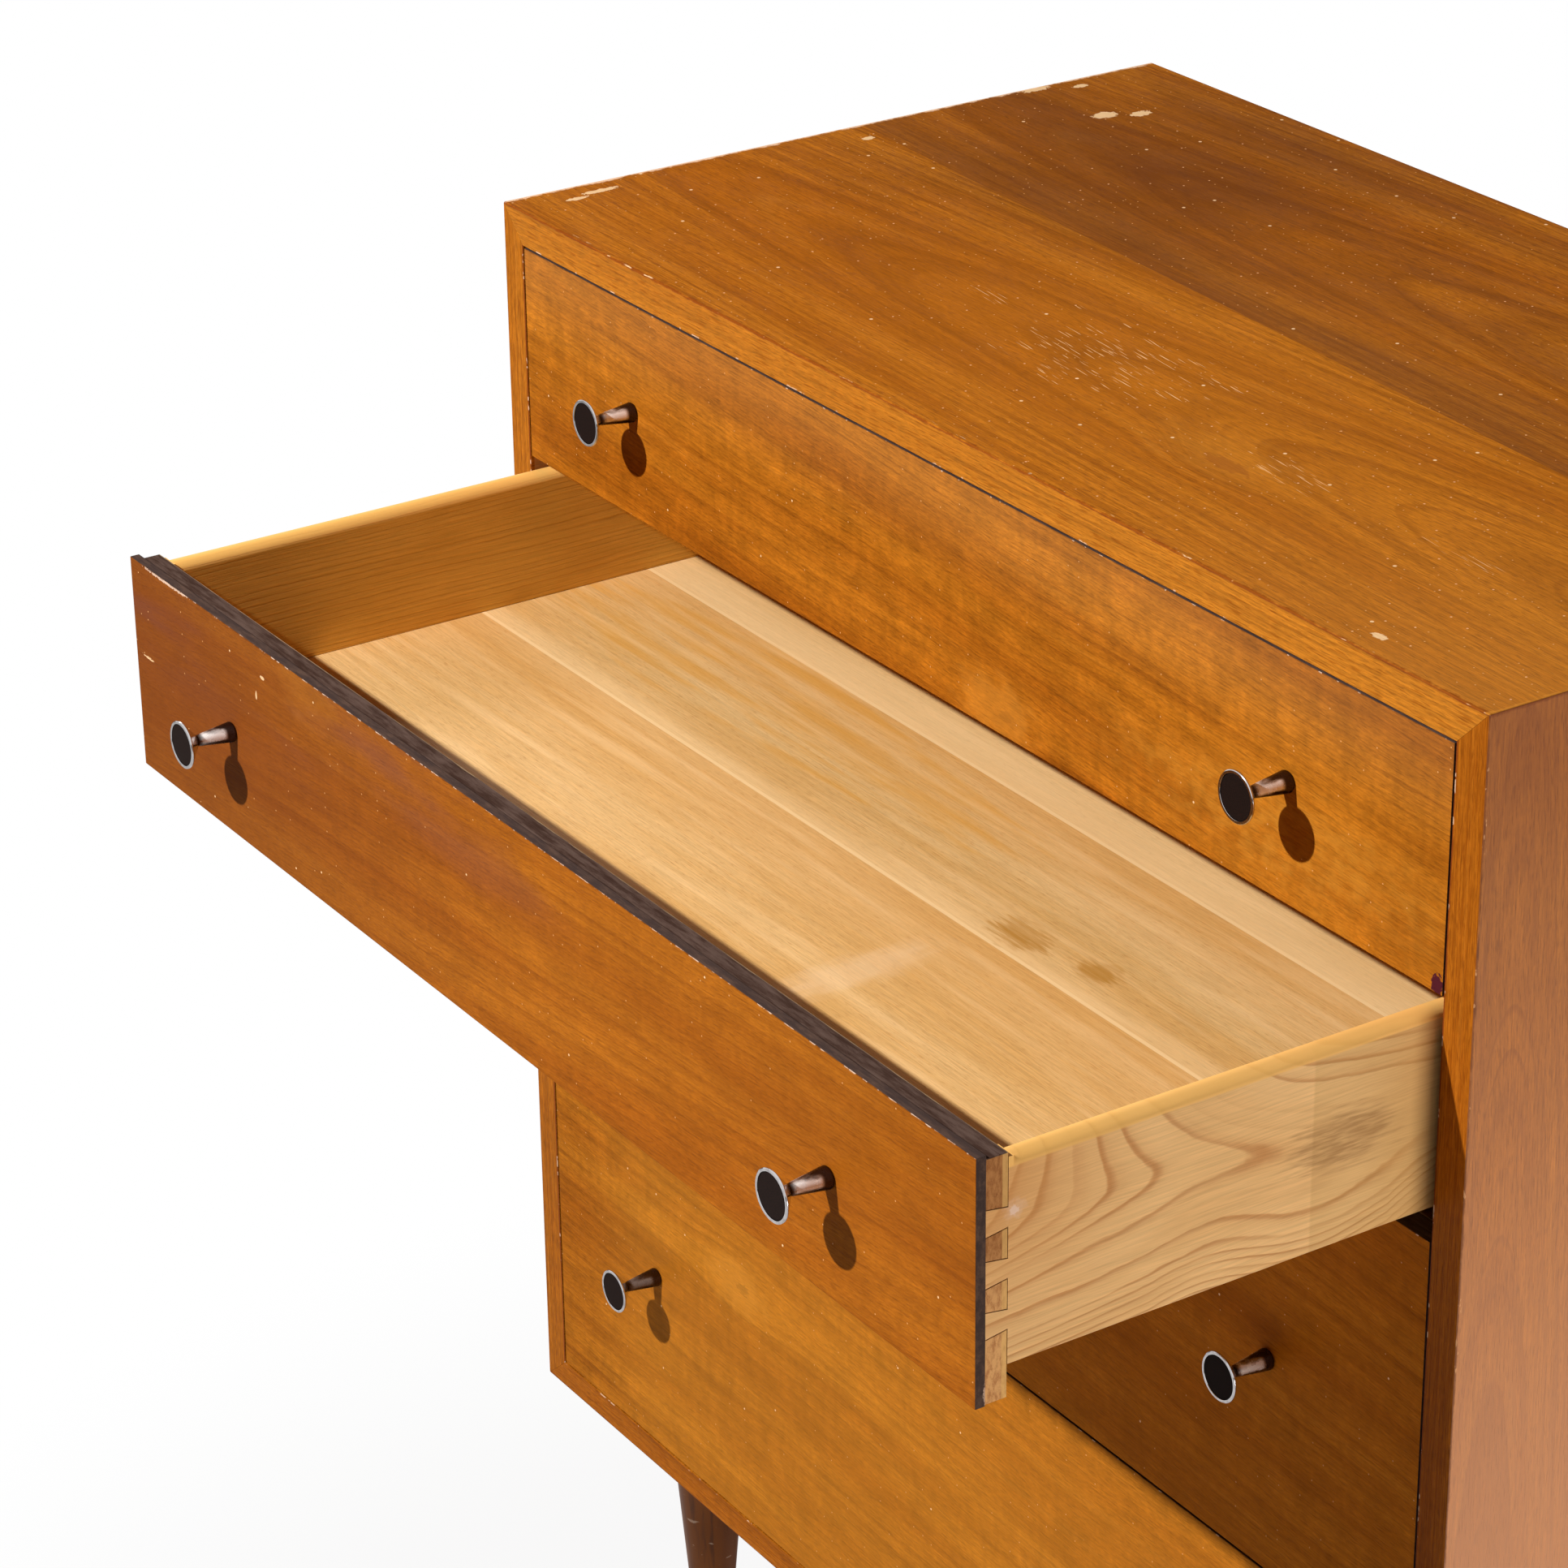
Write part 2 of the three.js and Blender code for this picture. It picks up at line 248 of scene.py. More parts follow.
def walnut(look, along, across, shift, pitch, wander=0.022, contrast=1.0, pores=1.0, ripple=0.0,
           figure=None):
    """Oiled walnut: clouds, soft dark bands and growth lines, pores, and ripple across the grain.

    The fine grain runs straight, and the growth lines follow the figure where one is given.
    Colours the look, and gives the height of the open grain."""
    grain = growth(look, along, across, shift, wander)
    lines = grain if figure is None else growth(look, along, figure, shift, wander)
    count = look.node("SeparateXYZ", {0: lines}, output=1)
    cloud = look.noise((0.55, 0.045), shift + 5, place=lines)
    band = look.noise((0.38, 0.0075), shift + 7, roughness=0.62, place=lines)
    streak = look.noise((0.2, 0.003), shift + 8, roughness=0.65, place=grain)
    fine = look.noise((0.045, 0.0013), shift + 9, roughness=0.7, place=grain)
    uneven = look.noise((0.9, 0.034), shift + 3, detail=1.0, place=lines)
    ring = (count / pitch + uneven * 2.5).wrap()
    strength = look.noise((0.22, 0.011), shift + 4, detail=2.0, place=lines).over(0.34, 0.62)
    line = ring.over(0.35, 0.95) * ring.over(1.0, 0.97) * strength
    thread = (count / (pitch * 0.37) + uneven * 4.1).wrap()
    some = look.noise((0.3, 0.005), shift + 6, detail=2.0, place=lines).over(0.44, 0.62)
    thread = thread.over(0.72, 0.92) * thread.over(1.0, 0.95) * some
    pore = look.noise((0.01, 0.0008), shift + 11, detail=1.0, place=grain).over(0.54, 0.7)
    look.colour = look.mix(cloud.over(0.34, 0.66), WALNUT_MID, WALNUT_LIGHT)
    look.tint(band.over(0.46, 0.76) * (0.66 * contrast), WALNUT_DEEP)
    look.tint(band.over(0.46, 0.24) * (0.3 * contrast), WALNUT_PALE)
    look.tint(streak.over(0.5, 0.75) * (0.45 * pores), WALNUT_DEEP)
    look.tint(line * (0.42 * contrast), WALNUT_DEEP)
    look.tint(thread * (0.42 * contrast), WALNUT_DEEP)
    look.shade(fine.over(0.25, 0.75, 1.0 + 0.34 * pores, 1.0 - 0.3 * pores))
    look.tint(pore * (0.52 * pores), WALNUT_DARK)
    grit = look.noise((0.0052, 0.0013), shift + 15, detail=2.0, roughness=0.7, place=grain)
    look.shade(grit.over(0.3, 0.7, 1.13, 0.85))
    if ripple:
        bands = look.noise((0.0105, 0.028), shift + 13, detail=1.5, distortion=0.5,
                           place=grain)
        where = look.noise((0.17, 0.055), shift + 17, detail=1.0, place=grain)
        look.shade((bands - 0.5) * where.over(0.36, 0.6, 0.25, 1.0) * ripple + 1.0)
    return 0.0 - pore - line * 0.3


def flecks(look, colour, across, pitch, share, size, shift):
    """Small scattered marks, such as dents through the oil and specks of paint."""
    place = look.point(look.x / pitch + shift, across / pitch + shift)
    settings = {"feature": "F1", "voronoi_dimensions": "2D"}
    cell = look.node("TexVoronoi", {"Vector": place, "Scale": 1.0}, settings)
    chance = Value(look, cell.socket.node.outputs["Color"])
    chosen = look.node("SeparateColor", {0: chance}).over(1 - share, 1 - share + 0.01)
    look.tint(cell.over(size, size * 0.6) * chosen, colour)


def top_veneer():
    """Two leaves with their growth lines drawn out in flames, the rear one darker."""
    look = Look("top_veneer", roughness=0.5, specular=0.002)
    seam = look.y + look.x * SEAM_SLOPE - SEAM_PLACE
    rear = seam.over(-0.0004, 0.0004)
    off = look.y - (rear * 0.222 + 0.04)
    flame = off * off * 7.2 - look.x * 0.07
    flame = parted(look, flame, -0.009, (0.135, 0.003, TOP), (0.075, 0.045, 0.05), 0.6)
    height = walnut(look, look.x, look.y, 2.0, pitch=0.011, contrast=1.2, pores=1.1,
                    ripple=0.12, figure=flame)
    look.tint(0.24, (0.48, 0.132, 0.01))
    # A painted reflection: the right front of the top is lightened and warmed, standing in for the
    # sheen of the fill light.
    painted_sheen = look.x.over(0.1, 0.46) * look.y.over(0.14, -0.09)
    look.tint(painted_sheen * 0.28, (0.7, 0.29, 0.05))
    middle = look.spot((0.02, 0.06, TOP), (0.26, 0.15, 0.05), ragged=0.3,
                       grain=(0.1, 0.05, 0.05), soft=0.9)
    look.tint(middle * 0.2, (0.62, 0.215, 0.02))
    deeper = look.x.over(0.3, -0.2) * look.y.over(0.14, 0.04)
    look.tint(deeper * 0.14, (0.29, 0.072, 0.002))
    heart = look.spot((0.137, 0.001, TOP), (0.02, 0.006, 0.02), ragged=0.7,
                      grain=(0.008, 0.004, 0.004))
    look.tint(heart * 0.5, (0.22, 0.045, 0.008))
    glow = look.spot((0.128, 0.008, TOP), (0.05, 0.022, 0.02), ragged=0.9,
                     grain=(0.02, 0.008, 0.008), soft=0.7)
    look.tint(glow * 0.22, WALNUT_PALE)
    patch = look.noise((0.34, 0.05, 0.1), 43.0).over(0.36, 0.66)
    edge = seam.over(0.06, 0.0) * look.x.over(-0.26, -0.16)
    dark = rear * (patch * 0.32 + edge * 0.24 + 0.08)
    look.tint(dark, (0.13, 0.04, 0.013))
    corner = look.spot((-0.31, 0.26, TOP), (0.17, 0.13, 0.05), ragged=0.7,
                       grain=(0.14, 0.03, 0.05), soft=0.75)
    look.tint(corner * 0.46, (0.12, 0.034, 0.006))
    flecks(look, BARE_WOOD, look.y, 0.05, 0.3, 0.026, 3.0)
    flecks(look, (0.8, 0.42, 0.19), look.y, 0.015, 0.12, 0.05, 4.0)
    flecks(look, (0.68, 0.33, 0.11), look.y, 0.0075, 0.16, 0.075, 6.0)
    sloping = look.point(look.x, look.y + look.x * 0.1)
    scratch = look.noise((0.024, 0.0011), 47.0, detail=1.0, place=sloping).over(0.61, 0.67)
    leaning = look.point(look.x - look.y * 0.6, look.y + look.x * 0.5)
    clump = look.noise((0.026, 0.011), 48.0, detail=1.0, place=leaning).over(0.42, 0.5)
    around = look.spot((-0.022, 0.043, TOP), (0.068, 0.04, 0.05), ragged=1.4,
                       grain=(0.03, 0.01, 0.01))
    small = union(
        look.spot((*centre, TOP), (*reach, 0.05), ragged=1.2, grain=(0.02, 0.006, 0.01))
        for centre, reach in (
            ((0.17, 0.022), (0.034, 0.012)),
            ((-0.15, 0.053), (0.018, 0.007)),
            ((0.3, 0.022), (0.028, 0.006)),
        )
    )
    look.tint(scratch * (around * clump).most(small * 0.8) * 0.85, (0.86, 0.5, 0.22))
    chips = union(
        look.spot((*centre, TOP), (*reach, 0.02), ragged=0.6, grain=0.0025)
        for centre, reach in (
            ((-0.383, 0.307), (0.006, 0.009)),
            ((-0.372, 0.328), (0.005, 0.008)),
            ((-0.44, -0.033), (0.003, 0.013)),
            ((-0.435, -0.053), (0.0025, 0.008)),
            ((-0.453, 0.303), (0.004, 0.011)),
            ((-0.442, 0.331), (0.003, 0.006)),
            ((0.357, -0.076), (0.0055, 0.0028)),
            ((-0.431, 0.158), (0.003, 0.005)),
        )
    )
    look.tint(chips * 0.9, BARE_WOOD)
    nick = look.noise(0.014, 49.0, detail=5.0, roughness=0.75)
    left_wear = (look.x - LEFT + nick * 0.01).over(0.009, 0.0066)
    look.tint(left_wear * 0.85, (0.9, 0.58, 0.36))
    front_wear = (look.y - FRONT + nick * 0.009).over(0.0066, 0.0046)
    look.tint(front_wear * 0.75, (0.215, 0.042, 0.004))
    bare = look.noise((0.016, 0.003, 0.003), 50.0).over(0.66, 0.7)
    look.tint(bare * (look.y - FRONT).over(0.0035, 0.0016) * 0.8, BARE_WOOD)
    right_wear = (RIGHT - look.x + nick * 0.008).over(0.0068, 0.0052)
    look.tint(right_wear * 0.6, WALNUT_PALE)
    gloss = look.noise((0.05, 0.02, 0.02), 51.0).over(0.3, 0.7, 0.38, 0.55)
    return look.done(gloss, height, depth=0.00012)


def side_veneer():
    """Flames that rise up the side, under a finish gone dull, with painted shade near the top and
    a painted pinkish reflection of the floor lower down.
    """
    look = Look("side_veneer", roughness=0.55, specular=0.1)
    off = look.y + 0.067
    flame = off * off * 14.0 + look.z * 0.06
    height = walnut(look, look.z, look.y, 21.0, pitch=0.0075, wander=0.03, contrast=1.1,
                    figure=flame)
    look.tint(0.46, (0.4, 0.15, 0.062))
    # Painted shade: the side is darkened toward the top, where less light falls on it.
    high = look.z.over(0.88, 0.99)
    look.tint(high * 0.34, (0.2, 0.045, 0.008))
    # Painted reflection: the side turns lighter and pinkish toward the floor, as the bright
    # floor's sheen would make it look.
    low = look.z.over(0.98, 0.42)
    look.tint(low * 0.54, (0.65, 0.33, 0.185))
    nick = look.noise((0.006, 0.006, 0.012), 53.0, detail=4.0, roughness=0.7)
    wear = (look.y - FRONT + nick * 0.003).over(0.003, 0.0018)
    look.tint(wear * 0.55, (0.12, 0.028, 0.01))
    bare = look.noise((0.003, 0.003, 0.009), 55.0).over(0.64, 0.68)
    look.tint(bare * (look.y - FRONT).over(0.003, 0.0012) * 0.8, (0.7, 0.36, 0.16))
    upper = (TOP - look.z + nick * 0.003).over(0.004, 0.0026)
    look.tint(upper * 0.5, WORN_RED)
    return look.done(height=height, depth=0.00012)


def inside_veneer():
    look = Look("inside_of_case", roughness=0.6, specular=0.0)
    height = walnut(look, look.y, look.z + look.x, 31.0, pitch=0.01)
    edge = (look.y - FRONT).over(0.0022, 0.0028)
    look.tint(edge * 0.6, (0.55, 0.3, 0.13))
    return look.done(height=height)


def edge_band(name, along, shift, worn_side, nicked_side, stain, share):
    """The solid band glued along a front edge, its grain running along it."""
    look = Look(name, roughness=0.42, specular=0.015)
    position, across = (look.x, look.z) if along == "X" else (look.z, look.x)
    height = walnut(look, position, across, shift, pitch=0.0048, wander=0.01, contrast=1.05,
                    ripple=0.45)
    look.tint(share, stain)
    place = look.point(position, across, shift)
    dash = look.noise((0.016, 0.0012), shift + 2, detail=1.5, place=place).over(0.56, 0.66)
    look.tint(dash * 0.5, (0.23, 0.05, 0.003))
    nick = look.noise(0.012, shift + 1, detail=5.0, roughness=0.75)
    arris = ((across - worn_side).size() + nick * 0.002).over(0.0026, 0.0016)
    look.tint(arris * 0.8, WORN_RED)
    bare = look.noise(0.01, shift + 3, roughness=0.6).over(0.6, 0.64)
    bare = bare * (across - nicked_side).size().over(0.0013, 0.0007)
    look.tint(bare * 0.75, (0.8, 0.52, 0.33))
    return look.done(height=height)


def eased(mesh, edges, offset, segments=2, clamp=False):
    """Rounds the chosen edges off."""
    bmesh.ops.bevel(mesh, geom=edges, offset=offset, offset_type="OFFSET", affect="EDGES",
                    segments=segments, profile=0.5, material=-1, clamp_overlap=clamp)


def block(low, high):
    """A box between two corners."""
    low, high = Vector(low), Vector(high)
    mesh = bmesh.new()
    bmesh.ops.create_cube(mesh, size=1.0)
    bmesh.ops.scale(mesh, vec=high - low, verts=mesh.verts)
    bmesh.ops.translate(mesh, vec=(high + low) / 2, verts=mesh.verts)
    return mesh


def sawn(mesh, point, normal):
    """Takes off what lies on the far side of a plane, and closes the cut."""
    geom = mesh.verts[:] + mesh.edges[:] + mesh.faces[:]
    cut = bmesh.ops.bisect_plane(mesh, geom=geom, plane_co=point, plane_no=normal,
                                 clear_outer=True, dist=MERGE)
    edges = [item for item in cut["geom_cut"] if isinstance(item, bmesh.types.BMEdge)]
    bmesh.ops.contextual_create(mesh, geom=edges)


def as_object(mesh, name):
    data = bpy.data.meshes.new(name)
    mesh.to_mesh(data)
    mesh.free()
    made = bpy.data.objects.new(name, data)
    scene.collection.objects.link(made)
    return made


def settle(mesh, name, materials, choose=lambda face: 0, smooth_below=40.0):
    """Makes an object of the mesh, with a material for each face and soft shading on its rounds.

    The weighted normals keep broad faces flat right up to their rounded edges."""
    bmesh.ops.recalc_face_normals(mesh, faces=mesh.faces[:])
    for face in mesh.faces:
        face.material_index = choose(face)
        face.smooth = True
    for edge in mesh.edges:
        if len(edge.link_faces) == 2:
            edge.smooth = edge.calc_face_angle(0.0) < math.radians(smooth_below)
    made = as_object(mesh, name)
    for material in materials:
        made.data.materials.append(material)
    weighted = made.modifiers.new("flat faces", "WEIGHTED_NORMAL")
    weighted.mode = "FACE_AREA"
    weighted.weight = 100
    weighted.keep_sharp = True
    return made


def rabbeted(piece):
    """Cuts the step that the back panel lies in."""
    low = (INNER_LEFT - BACK_LAP, REAR - BACK - BACK_PLAY, LEDGE - BACK_LAP)
    high = (INNER_RIGHT + BACK_LAP, REAR + BACK, SOFFIT + BACK_LAP)
    cutter = as_object(block(low, high), "rabbet")
    step = piece.modifiers.new("rabbet", "BOOLEAN")
    step.operation = "DIFFERENCE"
    step.object = cutter
    step.solver = "EXACT"
    bpy.context.view_layer.update()
    shown = piece.evaluated_get(bpy.context.evaluated_depsgraph_get())
    piece.data = bpy.data.meshes.new_from_object(shown)
    piece.modifiers.remove(step)
    bpy.data.objects.remove(cutter)
    return piece


def case_panel(part, inner, outward, cuts, materials):
    """One panel of the case: the part of the box between its two mitres and its inner face."""
    inner, outward = Vector(inner), Vector(outward)
    mesh = block((LEFT, FRONT, UNDERSIDE), (RIGHT, REAR, TOP))
    eased(mesh, mesh.edges[:], ARRIS, segments=3)
    for point, normal in [(inner, -outward), *cuts]:
        sawn(mesh, point, normal)

    def inner_front(vert):
        return abs((vert.co - inner).dot(outward)) < TOUCH and vert.co.y < FRONT + TOUCH

    front_arris = [edge for edge in mesh.edges if all(inner_front(vert) for vert in edge.verts)]
    eased(mesh, front_arris, INNER_ARRIS)

    def kind(face):
        """Veneer on the outer face, band on the front and back edges, plain wood elsewhere."""
        facing = face.normal.dot(outward)
        if facing <= FACING < abs(face.normal.y):
            return 1
        return 0 if facing > 0.3 else 2

    piece = rabbeted(settle(mesh, f"case_{part}", materials, kind))
    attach(piece, "case")
    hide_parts(f"{part}_panel")
    "side_walnut" if "side" in part else "walnut"


def mitre(outer, inner, keep):
    """A mitre plane through an outer and an inner corner, facing away from the point to keep."""
    outer, inner = Vector(outer), Vector(inner)
    direction = (inner - outer).normalized()
    normal = Vector((direction.z, 0, -direction.x))
    if (Vector(keep) - outer).dot(normal) > 0:
        normal = -normal
    return outer - normal * JOINT_LINE, normal


CORNERS = {
    "top left": ((LEFT, 0, TOP), (INNER_LEFT, 0, SOFFIT)),
    "top right": ((RIGHT, 0, TOP), (INNER_RIGHT, 0, SOFFIT)),
    "bottom left": ((LEFT, 0, UNDERSIDE), (INNER_LEFT, 0, LEDGE)),
    "bottom right": ((RIGHT, 0, UNDERSIDE), (INNER_RIGHT, 0, LEDGE)),
}

top_band = edge_band("top_band", "X", 61.0, TOP, SOFFIT, WALNUT_PALE, 0.3)
bottom_band = edge_band("bottom_band", "X", 67.0, UNDERSIDE, LEDGE, WALNUT_MID, 0.3)
left_band = edge_band("left_band", "Z", 63.0, INNER_LEFT, INNER_LEFT, (0.4, 0.125, 0.01), 0.3)
right_band = edge_band("right_band", "Z", 65.0, INNER_RIGHT, INNER_RIGHT, (0.25, 0.052, 0.002),
                       0.5)
inside = inside_veneer()
veneer = side_veneer()
for part, inner, outward, keep, materials in (
    ("top", (0, 0, SOFFIT), (0, 0, 1), (0, 0, 1.2), [top_veneer(), top_band, inside]),
    ("bottom", (0, 0, LEDGE), (0, 0, -1), (0, 0, 0), [inside, bottom_band, inside]),
    ("left_side", (INNER_LEFT, 0, 0), (-1, 0, 0), (-2, 0, 0.6), [veneer, left_band, inside]),
    ("right_side", (INNER_RIGHT, 0, 0), (1, 0, 0), (2, 0, 0.6), [veneer, right_band, inside]),
):
    end = part.split("_")[0]
    cuts = [mitre(*corner, keep) for place, corner in CORNERS.items() if end in place]
    case_panel(part, inner, outward, cuts, materials)


# The back: one thin board of stained ply, let into the rabbets and pinned there.
# Its plain shape is the one of the fixed model, and only its look is new.
def back_board():
    look = Look("back_board", roughness=0.7, specular=0.05)
    height = walnut(look, look.z, look.x, 71.0, pitch=0.02)
    look.tint(0.5, (0.16, 0.075, 0.032))
    return look.done(height=height)


def repaint(node, material):
    """Gives a CAD node that keeps its shape its real look."""
    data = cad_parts[node].data
    data.materials.clear()
    data.materials.append(material)


repaint("back_panel", back_board())


# The frames that carry the drawers: plain unpolished rails and runners, glued up,
# with a waxed guide strip down the middle. The front edge is coloured dark as painted
# shade, standing in for the shadow in the recess behind the drawer fronts.
RAIL_SHADE_DEPTH = 0.0255


def frame_wood():
    look = Look("frame_wood", roughness=0.75, specular=0.05)
    height = walnut(look, look.y, look.x, 81.0, pitch=0.014)
    look.tint(0.55, (0.42, 0.25, 0.12))
    # Painted shade: the front edge is coloured near black, in place of the shadow in the recess.
    painted_shade = (look.y - FRONT).over(RAIL_SHADE_DEPTH + 0.001, RAIL_SHADE_DEPTH)
    look.tint(painted_shade, (0.055, 0.03, 0.022))
    return look.done(height=height)


DRAWERS = (1, 2, 3, 4)
runner_wood = frame_wood()
for number in DRAWERS:
    repaint(f"drawer_frame_{number}", runner_wood)


# The legs: turned and tapered hardwood, stained dark and polished, each on a steel plate
# screwed under the case.
LEG_TOP_RADIUS = 0.0273
LEG_FOOT_RADIUS = 0.0132
LEG_CHAMFER = 0.0015
LEG_ROUND = 0.0008
LEG_PLAY = 0.0003
TURNED_SEGMENTS = 64


def leg_finish():
    look = Look("leg_stain", roughness=0.35, specular=0.1)
    streak = look.noise((0.004, 0.004, 0.12), 5.0, detail=4.0, roughness=0.6)
    cloud = look.noise((0.05, 0.05, 0.1), 7.0, detail=2.0)
    look.colour = look.mix(cloud.over(0.3, 0.7), (0.088, 0.027, 0.006), (0.138, 0.044, 0.01))
    look.tint(streak.over(0.52, 0.72) * 0.7, (0.045, 0.018, 0.01))
    scuff = look.noise((0.01, 0.01, 0.004), 9.0).over(0.66, 0.72)
    look.tint(scuff * look.z.over(0.16, 0.02) * 0.6, (0.45, 0.33, 0.24))
    return look.done(height=streak, depth=0.00008)


def plate_steel():
    look = Look("plate_steel", roughness=0.45, specular=0.5, metallic=1.0)
    wear = look.noise(0.006, 15.0, detail=4.0)
    look.colour = look.mix(wear.over(0.4, 0.7), (0.46, 0.46, 0.47), (0.28, 0.27, 0.26))
    return look.done(wear.over(0.3, 0.7, 0.35, 0.6))


def turned(profile, axis, centre):
    """A profile of radius and height, turned about an axis through the centre."""
    mesh = bmesh.new()
    points = [mesh.verts.new(Vector((radius, 0, 0)) + axis * height) for radius, height in profile]
    lines = [mesh.edges.new(pair) for pair in zip(points, points[1:])]
    bmesh.ops.spin(mesh, geom=points + lines, cent=(0, 0, 0), axis=axis, angle=math.tau,
                   steps=TURNED_SEGMENTS, use_merge=True)
    bmesh.ops.remove_doubles(mesh, verts=mesh.verts, dist=MERGE)
    bmesh.ops.translate(mesh, vec=centre, verts=mesh.verts)
    return mesh


stained_leg = leg_finish()
plated_steel = plate_steel()
for place in ("front_left", "front_right", "rear_left", "rear_right"):
    low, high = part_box(f"leg_{place}")
    centre = Vector(((low.x + high.x) / 2, (low.y + high.y) / 2, 0))
    leg_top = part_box(f"leg_plate_{place}")[0].z - LEG_PLAY
    neck = LEG_TOP_RADIUS - LEG_ROUND
    mesh = turned([
        (0, 0), (LEG_FOOT_RADIUS - LEG_CHAMFER, 0), (LEG_FOOT_RADIUS, LEG_CHAMFER),
        (neck, leg_top - LEG_ROUND), (neck, leg_top), (0, leg_top),
    ], Vector((0, 0, 1)), centre)
    leg = settle(mesh, f"turned_leg_{place}", [stained_leg], smooth_below=30.0)
    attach(leg, "case")
    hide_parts(f"leg_{place}")
    repaint(f"leg_plate_{place}", plated_steel)


# The drawer fronts: a thin veneered panel, its grain running across the piece with a ripple
# figure. The edges of the panel are painted dark.
FRONT_ARRIS = 0.0005
EDGE_PAINT = (0.056, 0.036, 0.031)
CHIPPED = (0.8, 0.57, 0.42)
KNOT_X = {1: 0.071, 2: -0.207, 3: 0.12, 4: -0.207}
KNOT_RISE = {1: -0.055, 2: 0.062, 3: -0.04, 4: 0.042}
GRAIN_SLOPE = {1: 0.06, 2: -0.055, 3: 0.045, 4: 0.012}


def board(node, offset, edges):
    """A closed mesh of a CAD node with the chosen edges eased."""
    mesh = bmesh.new()
    mesh.from_mesh(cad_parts[node].data)
    bmesh.ops.remove_doubles(mesh, verts=mesh.verts, dist=TOUCH)
    bmesh.ops.dissolve_limit(mesh, angle_limit=math.radians(0.5), verts=mesh.verts,
                             edges=mesh.edges)
    eased(mesh, [edge for edge in mesh.edges if edges(edge)], offset, clamp=True)
    return mesh


def front_veneer(number, low, high):
    look = Look(f"front_veneer_{number}", roughness=0.45, specular=0.008)
    middle = (low.z + high.z) / 2
    knot_x, rise, slope = KNOT_X[number], KNOT_RISE[number], GRAIN_SLOPE[number]
    centre = (knot_x, low.y, middle + rise)
    across = look.z + look.x * slope
    bent = parted(look, across, middle + rise + knot_x * slope, centre, (0.075, 0.05, 0.034), 0.85)
    height = walnut(look, look.x, across, 100.0 + 7 * number, pitch=0.0115, contrast=0.62,
                    pores=0.42, ripple=0.35 if number == 2 else 0.6, figure=bent)
    mottle = look.noise((0.03, 0.05, 0.016), 105.0 + number)
    look.shade(mottle.over(0.3, 0.7, 0.98, 0.8))
    heart = look.spot(centre, (0.007, 0.03, 0.004), ragged=0.9, grain=(0.006, 0.005, 0.002))
    look.tint(heart * (0.65 if number == 4 else 0.4), WALNUT_DARK)
    glow = look.spot((knot_x - 0.01, low.y, middle + rise), (0.032, 0.03, 0.018), ragged=0.8,
                     grain=(0.012, 0.005, 0.008), soft=0.5)
    look.tint(glow * 0.4, WALNUT_PALE)
    if number == 2:
        look.tint(0.22, (0.34, 0.078, 0.008))
        right = look.x.over(-0.05, 0.15) * look.z.over(middle - 0.03, middle + 0.01)
        look.tint(right * 0.26, (0.2, 0.05, 0.004))
        left = look.x.over(0.15, -0.42)
        look.tint(left * 0.72, (0.15, 0.036, 0.008))
        purple = look.noise((0.16, 0.05, 0.03), 97.0).over(0.44, 0.68)
        purple = purple * look.z.over(middle - 0.02, high.z - 0.01) * look.x.over(0.15, -0.05)
        look.tint(purple * 0.45, (0.16, 0.05, 0.034))
        for x, z, reach, ragged, grain in (
            (-0.268, 0.822, (0.0028, 0.0012), 0.5, (0.002, 0.002, 0.001)),
            (-0.277, 0.808, (0.001, 0.003), 0.5, (0.001, 0.002, 0.002)),
            (-0.419, 0.78, (0.0065, 0.0008), 0.9, (0.003, 0.002, 0.001)),
        ):
            mark = look.spot((x, low.y, z), (reach[0], 0.02, reach[1]), ragged, grain)
            look.tint(mark * 0.8, BARE_WOOD)
        worn = look.spot((-0.386, low.y, high.z - 0.0004), (0.026, 0.02, 0.0014), ragged=1.0,
                         grain=(0.0025, 0.002, 0.001))
        look.tint(worn * 0.75, CHIPPED)
    if number == 1:
        look.tint(look.z.over(middle, high.z) * 0.05, BARE_WOOD)
        gold = look.spot((0.315, low.y, low.z + 0.034), (0.12, 0.03, 0.026), ragged=0.7,
                         grain=(0.05, 0.01, 0.01), soft=0.7)
        cloudy = look.noise((0.012, 0.05, 0.008), 93.0)
        gold = gold * cloudy.over(0.36, 0.62, 0.3, 1.0)
        look.tint(gold * 0.45, (0.62, 0.26, 0.03))
        duller = look.x.over(0.33, 0.44)
        look.tint(duller * 0.16, WALNUT_DEEP)
        chip = look.spot((0.4295, low.y, 0.846), (0.0045, 0.02, 0.006), ragged=0.6, grain=0.002)
        look.tint(chip, (0.075, 0.012, 0.018))
    if number == 3:
        # Painted shade colour: the whole front is reddened to the warm look it has in the open
        # drawer's shadow.
        look.tint(0.22, (0.62, 0.16, 0.0))
    if number == 4:
        faded = look.z.over(high.z + 0.06, high.z - 0.08) * look.x.over(-0.42, -0.3)
        look.tint(faded * 0.24, (0.66, 0.27, 0.03))
    flecks(look, BARE_WOOD, look.z, 0.034, 0.14, 0.024, 5.0 + number)
    flecks(look, (0.66, 0.33, 0.12), look.z, 0.009, 0.1, 0.06, 9.0 + number)
    nick = look.noise((0.008, 0.006, 0.006), 110.0 + number, detail=4.0, roughness=0.7)
    upper = (high.z - look.z + nick * 0.002).over(0.0018, 0.001)
    lower = (look.z - low.z + nick * 0.002).over(0.0018, 0.001)
    look.tint((upper * 0.6).most(lower * 0.3), WALNUT_DARK)
    often = 0.52 if number == 2 else 0.58
    chipped = look.noise((0.006, 0.004, 0.004), 115.0 + number)
    look.tint(chipped.over(often, often + 0.05) * upper * 0.8, CHIPPED)
    return look.done(height=height, depth=0.00012)


